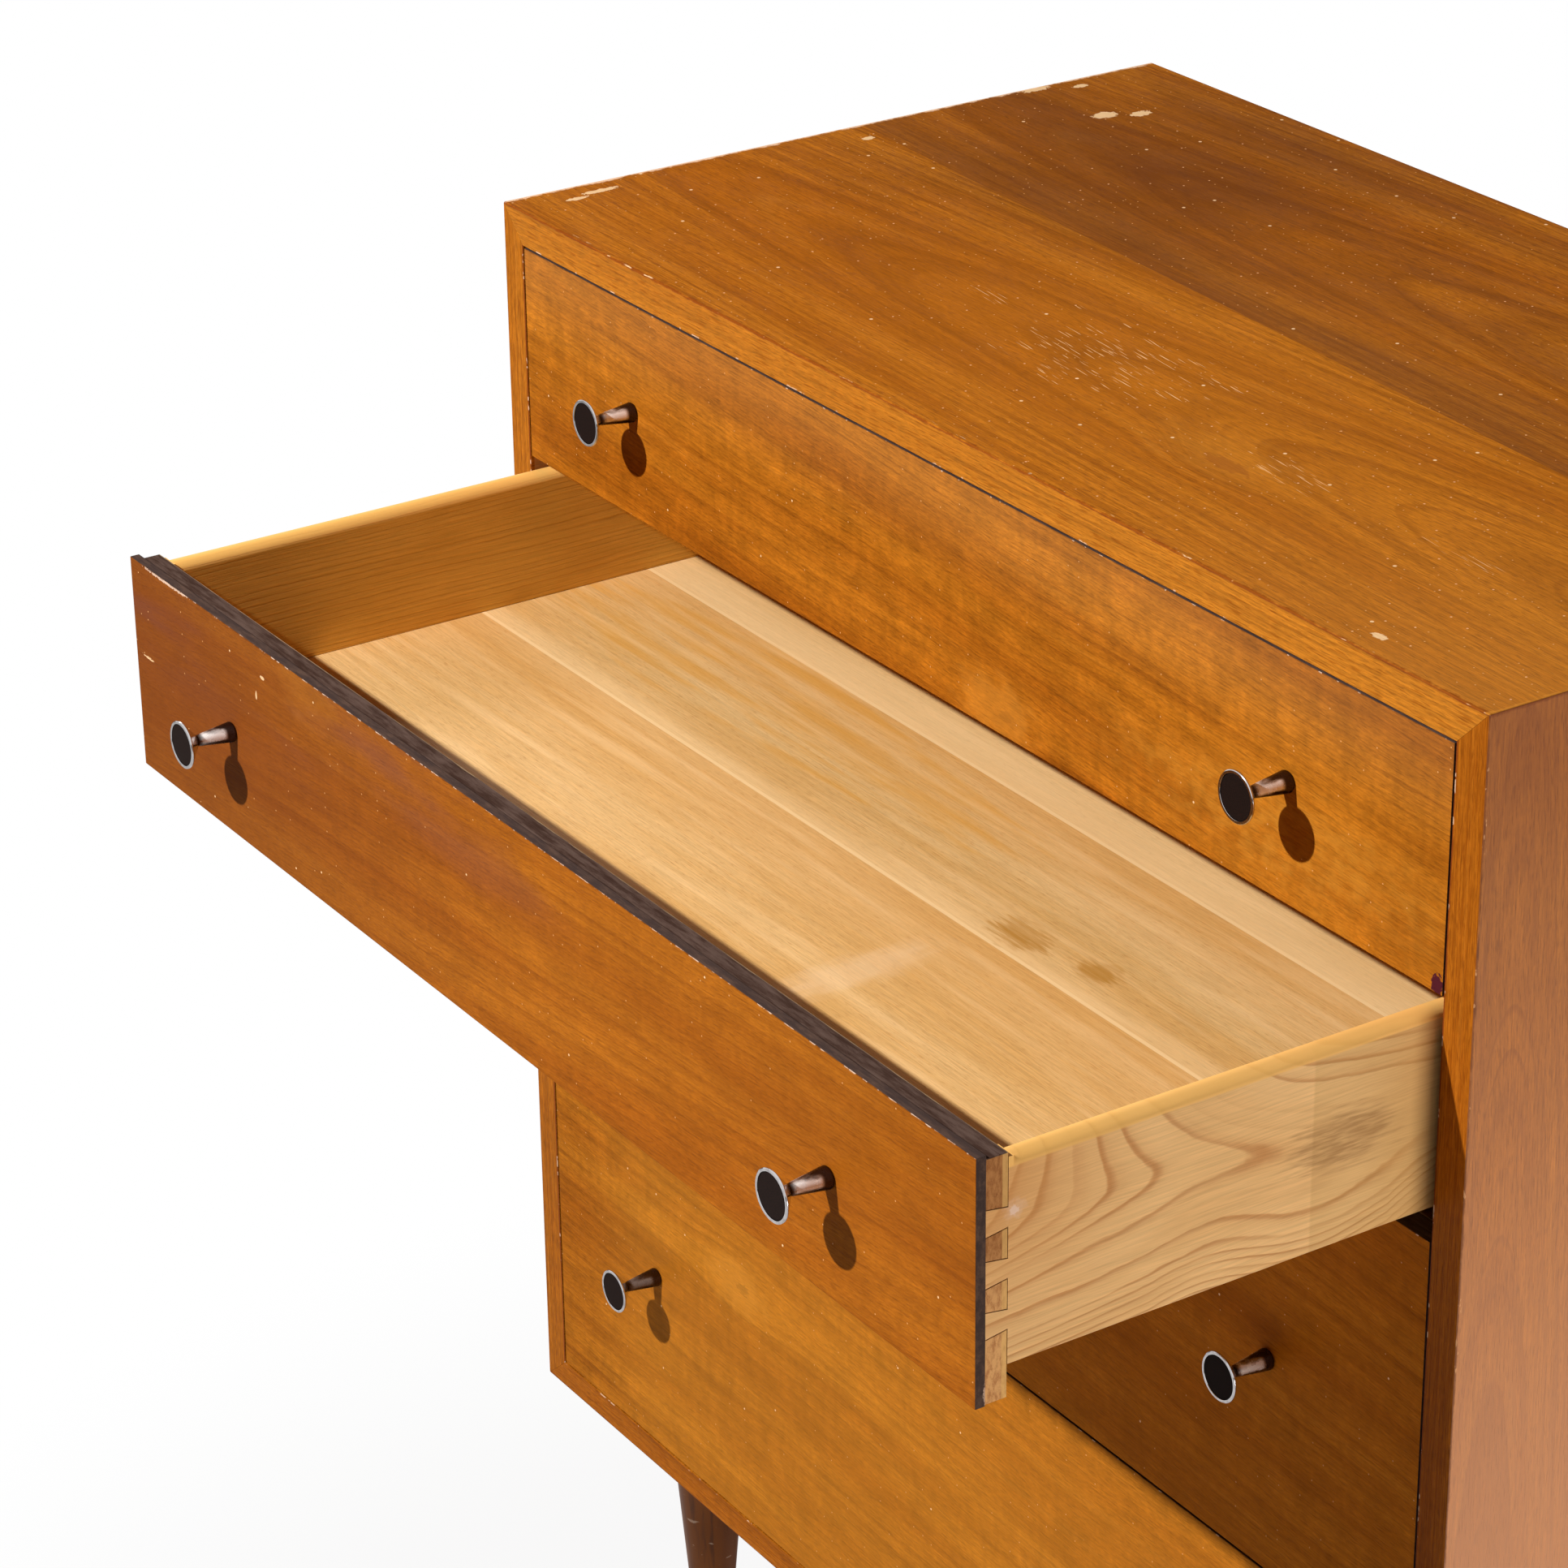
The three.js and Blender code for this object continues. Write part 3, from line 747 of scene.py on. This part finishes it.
def edge_paint():
    look = Look("edge_paint", roughness=0.7, specular=0.0)
    worn = look.noise((0.02, 0.004, 0.006), 121.0, detail=5.0, roughness=0.7)
    look.colour = look.mix(worn.over(0.38, 0.78), EDGE_PAINT, (0.12, 0.07, 0.05))
    flaked = look.spot((0.4336, -0.36, 0.7125), (0.01, 0.0024, 0.0075), ragged=0.6,
                       grain=(0.003, 0.0015, 0.002))
    line = look.spot((0.4336, -0.3603, 0.731), (0.01, 0.0008, 0.01), ragged=0.9,
                     grain=(0.002, 0.001, 0.002))
    look.tint(flaked.most(line) * 0.75, (0.56, 0.37, 0.27))
    return look.done(worn.over(0.3, 0.7, 0.5, 0.7), worn)


painted_edge = edge_paint()
for number in DRAWERS:
    node = f"drawer_{number}_face"
    low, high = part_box(node)

    def outline(edge, low=low, high=high):
        """Whether both ends lie on the outline of the panel."""
        return all(
            min(abs(vert.co.z - low.z), abs(vert.co.z - high.z),
                abs(vert.co.x - low.x), abs(vert.co.x - high.x)) < LEVEL for vert in edge.verts
        )

    mesh = board(node, FRONT_ARRIS, outline)
    materials = [front_veneer(number, low, high), painted_edge]
    panel = settle(mesh, f"front_panel_{number}", materials,
                   lambda face: 0 if face.normal.y < -FACING else 1)
    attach(panel, f"drawer_{number}")
    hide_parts(node)


# The sub-fronts behind the veneered panels: ash boards, top edge painted dark and rubbed
# through at the arris, with dovetail sockets at both ends.
SUBFRONT_ARRIS = 0.0007


def subfront_finish(number, low, high):
    look = Look(f"subfront_{number}", roughness=0.7, specular=0.0)
    streak = look.noise((0.16, 0.004, 0.003), 131.0, detail=4.0, roughness=0.6)
    board_tone = look.mix(streak.over(0.4, 0.65), (0.66, 0.37, 0.145), (0.48, 0.23, 0.075))
    end_grain = look.noise((0.01, 0.0022, 0.005), 133.0, detail=4.0, roughness=0.7)
    end_tone = look.mix(end_grain.over(0.35, 0.65), (0.44, 0.192, 0.066), (0.28, 0.108, 0.036))
    lower = look.mix(end_grain.over(0.4, 0.66), (0.72, 0.385, 0.15), (0.48, 0.205, 0.076))
    end_tone = look.mix((high.z - 0.06 - look.z).over(-0.02, 0.03) * 0.85, end_tone, lower)
    inner_ply = (high.y - look.y).over(0.0032, 0.0028)
    end_tone = look.mix(inner_ply * 0.6, end_tone, (0.72, 0.42, 0.14))
    at_end = (look.x.size() - high.x + 0.0002).over(-0.0002, 0.0)
    look.colour = look.mix(at_end, board_tone, end_tone)
    rubbed = look.noise((0.03, 0.004, 0.004), 137.0, detail=5.0, roughness=0.7)
    paint = look.mix(rubbed.over(0.36, 0.66), (0.048, 0.025, 0.018), (0.112, 0.07, 0.055))
    front = (look.y - low.y + rubbed * 0.002).over(0.0022, 0.0012)
    paint = look.mix(front * 0.5, paint, (0.34, 0.23, 0.18))
    rear = (high.y - look.y + rubbed * 0.003).over(0.0026, 0.0014)
    paint = look.mix(rear * 0.7, paint, (0.6, 0.42, 0.24))
    on_top = (high.z - look.z).over(0.0008, 0.0004)
    look.tint(on_top, paint)
    return look.done(height=streak)


for number in DRAWERS:
    node = f"drawer_{number}_subfront"
    low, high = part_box(node)

    def upper_long(edge, high=high):
        start, end = [vert.co for vert in edge.verts]
        on_top = abs(start.z - high.z) < LEVEL and abs(end.z - high.z) < LEVEL
        return on_top and abs(start.x - end.x) > 0.1

    mesh = board(node, SUBFRONT_ARRIS, upper_long)
    subfront = settle(mesh, f"subfront_board_{number}", [subfront_finish(number, low, high)])
    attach(subfront, f"drawer_{number}")
    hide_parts(node)


# The drawer sides: ash boards with a rounded top edge, dovetailed into the sub-front.
# The growth lines arch at the front end and run off along the board.
TAIL_LENGTH = 0.0134
TAIL_ARRIS = 0.0006
FLAME_AHEAD, FLAME_ABOVE, FLAME_COUNT = 0.0081, 0.0079, 0.0048


def ash(look, along, across, shift, pitch, wander, pale, dark, bends=BENDS, stray=4.0,
        figure=None, weight=1.0):
    """Plain ash: pale, with soft brown growth lines and fine streaks. Gives the height."""
    grain = growth(look, along, across, shift, wander, bends)
    lines = grain if figure is None else growth(look, along, figure, shift, wander, bends)
    jitter = look.noise((0.012, 0.01), shift + 2, detail=2.0, place=grain) - 0.5
    count = look.node("SeparateXYZ", {0: lines}, output=1) + jitter * 0.0012
    uneven = look.noise((0.6, 0.03), shift + 3, detail=1.0, place=lines)
    ring = (count / pitch + uneven * stray).wrap()
    strength = look.noise((0.13, 0.006), shift + 4, detail=2.0, place=lines)
    late = ring.over(0.15, 0.86) * 0.34 + ring.over(0.64, 0.88) * 0.66
    line = late * ring.over(1.0, 0.91) * strength.over(0.34, 0.6, 0.3, 1.0) * weight
    streak = look.noise((0.05, 0.0012), shift + 6, roughness=0.7, place=grain)
    cloud = look.noise((0.1, 0.03), shift + 8, place=lines)
    look.colour = look.mix(cloud.over(0.32, 0.7) * 0.5, pale, dark)
    look.tint(line * 0.72, (dark[0] * 0.64, dark[1] * 0.44, dark[2] * 0.32))
    look.shade(streak.over(0.25, 0.75, 1.1, 0.86))
    return 0.0 - streak - line


def flame_of_ash(back, deep):
    """The growth lines of one side: arches at the front, one long flame, and waves along the foot.

    Gives the count across the lines, and how strongly each shows."""
    foot = ((back.most(0.104) - 0.1687) * 43.3).wave() * 0.0055 + 0.0885
    foot = foot + (0.104 - back).most(0.0) * 0.083 - (back - 0.25).most(0.0) * 0.3
    rise = foot - deep
    below = rise.most(0.0) * (1.13 - back * 4.1).most(0.25) + rise.least(0.0) * 0.54
    below = below + (rise + 0.0125).least(0.0) * 0.95
    short = back.blend_least(0.19, 0.05)
    above = short * deep * 5.986 - short * 0.523 - deep * 0.33 + 0.0678
    above = above - (back - 0.171).most(0.0) * 0.09
    count = below.blend_least(above, 0.014)
    plain = count.over(0.0115, 0.009) * count.over(-0.0125, -0.009) * deep.over(0.078, 0.062)
    plain = plain.most(count.over(0.0115, 0.009) * count.over(0.003, 0.0055))
    return count - count.over(0.0137, 0.0225) * 0.0034, 1.0 - plain * 0.85


def drawer_wood(name, low, high, arched):
    look = Look(name, roughness=0.55, specular=0.04)
    if arched:
        back = look.y - (low.y - FLAME_AHEAD)
        deep = high.z + FLAME_ABOVE - look.z
        figure, weight = flame_of_ash(back, deep)
        height = ash(look, look.y, look.z, 141.0, 0.0068, 0.006, (0.8, 0.48, 0.205),
                     (0.68, 0.37, 0.135), bends=(0.085, 0.03), stray=0.4,
                     figure=figure + FLAME_COUNT, weight=weight)
        halo = look.spot((high.x, -0.3436, 0.8058), (0.05, 0.006, 0.0052), 0.9, 0.003, soft=0.4)
        look.tint(halo * 0.35, (0.86, 0.66, 0.54))
        glue = look.spot((high.x, -0.3446, 0.805), (0.05, 0.0028, 0.0026), 0.9, 0.002, soft=0.3)
        look.tint(glue * 0.75, (0.97, 0.84, 0.74))
        warm = back.over(0.11, 0.0) * deep.over(0.14, 0.0)
        look.tint(warm * 0.66, (0.58, 0.235, 0.058))
        # Painted shade: the rear of this side darkens toward the case, where the case shades it.
        painted_shade_by_case = look.y.over(-0.169, -0.167) * look.y.over(-0.155, -0.095, 0.24, 0.46)
        look.tint(painted_shade_by_case, (0.38, 0.2, 0.045))
        smudge = look.spot((high.x, -0.15, 0.781), (0.05, 0.03, 0.015), ragged=0.9,
                           grain=(0.02, 0.022, 0.0022), soft=0.45)
        streaky = look.noise((0.05, 0.016, 0.0018), 149.0)
        smudge = smudge * streaky.over(0.3, 0.62, 0.25, 1.0)
        look.tint(smudge * 0.62, (0.27, 0.125, 0.04))
    else:
        height = ash(look, look.y, look.z, 151.0 + low.z * 9, 0.0036, 0.016, (0.79, 0.475, 0.2),
                     (0.66, 0.36, 0.125), weight=0.65)
        outer = max(abs(low.x), abs(high.x))
        # Inner faces: yellowed with age, and lightened as painted light for the warm light that
        # the drawer bottom throws on them.
        inside = look.x.size().over(outer - 0.003, outer - 0.006)
        yellowed_and_lightened = look.mix(inside, (1.0, 1.0, 1.0), (1.16, 1.14, 0.6))
        look.colour = look.vector("MULTIPLY", look.colour, yellowed_and_lightened)
    rim = (high.z - look.z).over(0.0064, 0.005)
    look.tint(rim * 0.82, (0.93, 0.51, 0.14))
    return look.done(height=height)


# Painted shade: a dark line round the tails, standing in for the shadow in the fine gaps between
# tails and pins.
def painted_joint_shade():
    look = Look("painted_joint_shade", roughness=0.8, specular=0.0)
    joint_shade_mottle = look.noise(0.004, 157.0).over(0.3, 0.7)
    look.colour = look.mix(joint_shade_mottle, (0.06, 0.026, 0.012), (0.2, 0.09, 0.035))
    return look.done()


joint_shade = painted_joint_shade()
for number in DRAWERS:
    for side in ("left", "right"):
        node = f"drawer_{number}_{side}_side"
        low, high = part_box(node)
        arched = number == 2 and side == "right"
        ash_board = drawer_wood(f"side_ash_{number}_{side}", low, high, arched)
        outer = low.x if side == "left" else high.x
        tails_end = low.y + TAIL_LENGTH

        def tail_outline(edge, outer=outer, tails_end=tails_end):
            ends = [vert.co for vert in edge.verts]
            return all(abs(end.x - outer) < LEVEL and end.y < tails_end for end in ends)

        def joint(face, tails_end=tails_end):
            leaning = 0.15 < abs(face.normal.x) < 0.95
            return int(leaning and face.calc_center_median().y < tails_end)

        mesh = board(node, TAIL_ARRIS, tail_outline)
        piece = settle(mesh, f"dovetailed_{side}_side_{number}", [ash_board, joint_shade], joint)
        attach(piece, f"drawer_{number}")
        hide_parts(node)


# The drawer backs and bottoms: a plain ash back, and a bottom of thin ply whose face veneer
# is laid in strips, yellowed and stained where things were kept.
GROOVE = 0.0133
OPEN_BOTTOM = 0.7526


def back_wood():
    look = Look("drawer_back_wood", roughness=0.6, specular=0.04)
    height = ash(look, look.x, look.z, 153.0, 0.009, 0.03, (0.68, 0.39, 0.155), (0.56, 0.29, 0.1))
    return look.done(height=height)


def plywood(number, low):
    """The strips' seams run across the drawer, at the same distances from the front in each."""
    look = Look(f"drawer_ply_{number}", roughness=0.45, specular=0.04)
    lines = growth(look, look.x, look.y, 160.0 + number, 0.006)
    forward = look.y - (low.y - GROOVE)
    streak = look.noise((0.16, 0.004), 161.0, detail=4.0, roughness=0.65, place=lines)
    fine = look.noise((0.03, 0.0011), 162.0, roughness=0.7, place=lines)
    pore = look.noise((0.0075, 0.0007), 163.0, detail=1.0, place=lines).over(0.56, 0.7)
    cloud = look.noise((0.34, 0.03), 165.0 + number, place=lines)
    look.colour = look.mix(cloud.over(0.36, 0.68), (0.715, 0.45, 0.185), (0.64, 0.365, 0.122))
    look.tint(streak.over(0.5, 0.74) * 0.4, (0.6, 0.31, 0.085))
    look.shade(fine.over(0.25, 0.75, 1.14, 0.84))
    look.tint(pore * 0.38, (0.42, 0.19, 0.05))
    strips = []
    for start, end, share in ((0.2275, 0.25, 0.45), (0.348, 0.415, 0.7)):
        seam = forward.over(start - 0.0003, start)
        seam = seam * forward.over(start + 0.0022, start + 0.003, 1.0, share)
        strips.append(seam * forward.over(start + 0.003, end, 1.0, 0.0))
    look.tint(union(strips) * 0.75, (0.9, 0.64, 0.33))
    before = forward.over(0.14, 0.227) * forward.over(0.2276, 0.2272)
    before = before.most(forward.over(0.27, 0.3475) * forward.over(0.3482, 0.3478))
    look.tint(before * 0.28, (0.68, 0.33, 0.09))
    # Darker toward the front, and painted shade toward the right end, by the drawer's right side.
    duller = (forward.over(0.12, 0.0) * 0.22).most(look.x.over(0.3, 0.42) * 0.3)
    look.tint(duller, (0.5, 0.25, 0.055))
    if number == 2:
        stain = union(
            look.spot((x, y, OPEN_BOTTOM), (*reach, 0.02), ragged=1.1,
                      grain=(0.016, 0.002, 0.008), soft=0.35)
            for x, y, reach in ((0.125, -0.119, (0.022, 0.013)), (0.184, -0.112, (0.014, 0.01)))
        )
        look.tint(stain * streak.over(0.3, 0.6, 0.45, 0.85), (0.44, 0.2, 0.028))
        smear = look.spot((0.109, -0.217, OPEN_BOTTOM), (0.015, 0.048, 0.02), ragged=0.5,
                          grain=(0.008, 0.02, 0.01), soft=0.5)
        look.tint(smear * 0.28, (0.93, 0.7, 0.45))
        amber = look.noise((0.13, 0.012, 0.05), 167.0).over(0.4, 0.66)
        around = look.spot((-0.18, -0.066, OPEN_BOTTOM), (0.26, 0.046, 0.05), ragged=0.5,
                           grain=(0.14, 0.03, 0.03)).over(0.0, 1.0)
        look.tint(amber * around * 0.55, (0.66, 0.3, 0.035))
        pale = look.noise((0.16, 0.01, 0.05), 169.0).over(0.48, 0.72)
        look.tint(pale * 0.3, (0.93, 0.63, 0.31))
    gloss = cloud.over(0.3, 0.7, 0.42, 0.58)
    return look.done(gloss, streak, depth=0.00006)


plain_back = back_wood()
for number in DRAWERS:
    repaint(f"drawer_{number}_back", plain_back)
    repaint(f"drawer_{number}_bottom", plywood(number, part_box(f"drawer_{number}_bottom")[0]))


# The knobs: turned and chromed, a flared head on a stem that widens to the front,
# with a black disc let into the head.
KNOB_REACH = 0.033
KNOB_RADIUS = 0.0143
NECK_RADIUS = 0.0033
BASE_RADIUS = 0.0062
INSERT_RADIUS = 0.0122
STUD_RADIUS = 0.0022
STUD_LENGTH = 0.0135
RIM = KNOB_REACH - 0.0012
POCKET = KNOB_REACH - 0.0019
# How strongly each knob's stem shows its painted highlight.
STEM_HIGHLIGHT = {1: 0.9, 2: 0.95, 3: 1.0, 4: 0.15}


def chrome(number, face_y, middle, rubbed):
    """Bright on the head. Down the stem it is near black, partly tarnish and partly a painted dark
    reflection, but for a painted highlight in a streak on top.
    """
    look = Look(f"chrome_{number}", roughness=0.1, specular=0.1, metallic=1.0)
    haze = look.noise(0.004, 171.0, detail=4.0)
    look.colour = look.mix(haze.over(0.4, 0.7), (0.62, 0.6, 0.6), (0.46, 0.43, 0.43))
    reach = face_y - look.y
    # Painted dark reflection, with some tarnish: the stem is coloured near black, as dark
    # surroundings would show in it.
    stem = reach.over(0.0262, 0.024)
    look.tint(stem * 0.97, (0.045, 0.026, 0.02))
    # Painted highlight: a pale, less metallic streak along the top of the stem, in place of a
    # reflected light.
    ragged = look.noise((0.004, 0.008, 0.002), 172.0) - 0.5
    streak = (look.z - middle - 0.0014 + ragged * 0.003).size().over(0.0036, 0.0014)
    streak = streak * reach.over(0.005, 0.008) * reach.over(0.0225, 0.019)
    look.tint(streak * rubbed, (1.0, 0.94, 0.9))
    look.feed(look.shader, "Metallic", 1.0 - streak * 0.6)
    return look.done(haze.over(0.3, 0.7, 0.07, 0.16) + stem * 0.15)


def black_disc():
    look = Look("black_disc", roughness=0.45, specular=0.01)
    grain = look.noise(0.0006, 173.0)
    look.colour = look.mix(grain.over(0.3, 0.7), (0.01, 0.006, 0.005), (0.018, 0.01, 0.008))
    return look.done(grain.over(0.3, 0.7, 0.34, 0.46), grain, depth=0.00002)


KNOB_PROFILE = (
    (0, -STUD_LENGTH), (STUD_RADIUS, -STUD_LENGTH), (STUD_RADIUS, 0.0002),
    (BASE_RADIUS - 0.0009, 0.0002), (BASE_RADIUS - 0.0002, 0.0006), (BASE_RADIUS, 0.0014),
    (NECK_RADIUS, 0.0226), (NECK_RADIUS + 0.0002, 0.0232), (NECK_RADIUS + 0.0012, 0.0242),
    (KNOB_RADIUS - 0.0006, RIM - 0.0003), (KNOB_RADIUS - 0.0001, RIM + 0.0001),
    (KNOB_RADIUS, RIM + 0.0004), (KNOB_RADIUS - 0.0001, KNOB_REACH - 0.0003),
    (KNOB_RADIUS - 0.0005, KNOB_REACH), (INSERT_RADIUS + 0.0003, KNOB_REACH),
    (INSERT_RADIUS + 0.0001, KNOB_REACH - 0.0003), (INSERT_RADIUS + 0.0001, POCKET), (0, POCKET),
)
DISC_PROFILE = (
    (0, POCKET + 0.0003), (INSERT_RADIUS, POCKET + 0.0003), (INSERT_RADIUS, KNOB_REACH - 0.0006),
    (INSERT_RADIUS - 0.0004, KNOB_REACH - 0.0003), (0, KNOB_REACH - 0.0002),
)

disc_black = black_disc()
for number in DRAWERS:
    face_low, face_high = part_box(f"drawer_{number}_face")
    middle = (face_low.z + face_high.z) / 2
    polished_chrome = chrome(number, face_low.y, middle, STEM_HIGHLIGHT[number])
    for side in ("left", "right"):
        node = f"knob_{number}_{side}"
        low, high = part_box(node)
        centre = Vector(((low.x + high.x) / 2, face_low.y, (low.z + high.z) / 2))
        for name, profile, material, replaced, slot in (
            ("turned_knob", KNOB_PROFILE, polished_chrome, node, "chrome"),
            ("knob_disc", DISC_PROFILE, disc_black, f"{node}_insert", "black"),
        ):
            outward = [(radius, -reach) for radius, reach in profile]
            mesh = turned(outward, Vector((0, 1, 0)), centre)
            piece = settle(mesh, f"{name}_{number}_{side}", [material], smooth_below=35.0)
            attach(piece, f"drawer_{number}")
            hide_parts(replaced)


# The stage: a pale floor that keeps the shadow, and a surround that is white to the camera
# and in reflections, and a faint warm light to all else.
FLOOR_SIZE = 14.0
FLOOR_DROP = 0.0005
WHITE = (1.0, 1.0, 1.0, 1.0)


def floor_paint():
    """Pale paint. The camera sees it nearly white, but for the shadow close to the piece."""
    look = Look("floor", roughness=0.9, specular=0.1)
    look.feed(look.shader, "Base Color", (0.6, 0.6, 0.6, 1.0))
    glow = look.node("Emission", {"Color": WHITE, "Strength": 1.0})
    away = look.distance((0, 0, 0), (1, 1, 1))
    seen = look.node("LightPath", output="Is Camera Ray") * away.over(0.5, 0.95, 0.84, 1.0)
    paint = Value(look, look.shader.outputs[0])
    surface = look.node("MixShader", {0: seen, 1: paint, 2: glow})
    look.feed(look.tree.nodes["Material Output"], "Surface", surface)
    return look.material


mesh = bmesh.new()
bmesh.ops.create_grid(mesh, x_segments=1, y_segments=1, size=FLOOR_SIZE)
bmesh.ops.translate(mesh, vec=(0, 0, -FLOOR_DROP), verts=mesh.verts)
floor = settle(mesh, "floor", [floor_paint()])

world = bpy.data.worlds.new("surround")
scene.world = world
world.use_nodes = True
world.node_tree.nodes.clear()
sky = Nodes(world.node_tree)
rays = [f"Is {kind} Ray" for kind in ("Camera", "Glossy", "Transmission")]
seen = union(sky.node("LightPath", output=ray) for ray in rays)
ambient = sky.node("Background", {"Color": (1.0, 0.93, 0.84, 1.0), "Strength": 0.02})
white = sky.node("Background", {"Color": WHITE, "Strength": 1.0})
mixed = sky.node("MixShader", {0: seen, 1: ambient, 2: white})
sky.feed(world.node_tree.nodes.new("ShaderNodeOutputWorld"), "Surface", mixed)


# The lamps: one small key high in front, a little to the left, and three broad fills from
# the right, the left and the rear.
def pointed(made, place, direction, roll=0.0):
    """Puts a lamp or the camera in its place, looking along a direction."""
    made.location = place
    made.rotation_mode = "QUATERNION"
    turn = direction.to_track_quat("-Z", "Y")
    made.rotation_quaternion = turn @ Quaternion((0, 0, 1), -roll)
    scene.collection.objects.link(made)


def lamp(name, place, aim, size, watts, colour=(1.0, 1.0, 1.0)):
    data = bpy.data.lights.new(name, "AREA")
    data.shape = "DISK"
    data.size = size
    data.energy = watts
    data.color = colour
    made = bpy.data.objects.new(name, data)
    made.visible_camera = False
    pointed(made, place, Vector(aim) - Vector(place))


lamp("key", (-0.32, -2.6, 2.9), (0.0, 0.0, 0.6), 0.07, 152.0)
lamp("right_fill", (2.1, 0.45, 0.35), (0.4, 0.0, 0.6), 1.0, 27.0, (1.0, 0.97, 0.93))
lamp("left_fill", (-2.8, 0.48, 2.1), (-0.4, 0.3, 0.7), 1.0, 28.0)
lamp("rear_fill", (0.3, 3.2, 1.7), (0.0, 0.4, 0.6), 1.6, 42.0)


# The camera, where the photograph was taken from: to the right of the front and above it,
# with a long lens, and turned a little about its own line of sight.
CAMERA_PLACE = (2.0175, -1.4864, 1.9488)
AZIMUTH, ELEVATION, ROLL = [math.radians(angle) for angle in (57.258, 25.355, 0.8405)]
FRAME_WIDTH, FOCAL_LENGTH = 36.0, 112.19

camera_data = bpy.data.cameras.new("camera")
camera_data.sensor_width = FRAME_WIDTH
camera_data.lens = FOCAL_LENGTH
camera = bpy.data.objects.new("camera", camera_data)
ahead = Vector((-math.sin(AZIMUTH), math.cos(AZIMUTH), 0)) * math.cos(ELEVATION)
pointed(camera, CAMERA_PLACE, ahead - Vector((0, 0, math.sin(ELEVATION))), ROLL)
scene.camera = camera
scene.view_settings.view_transform = "Standard"
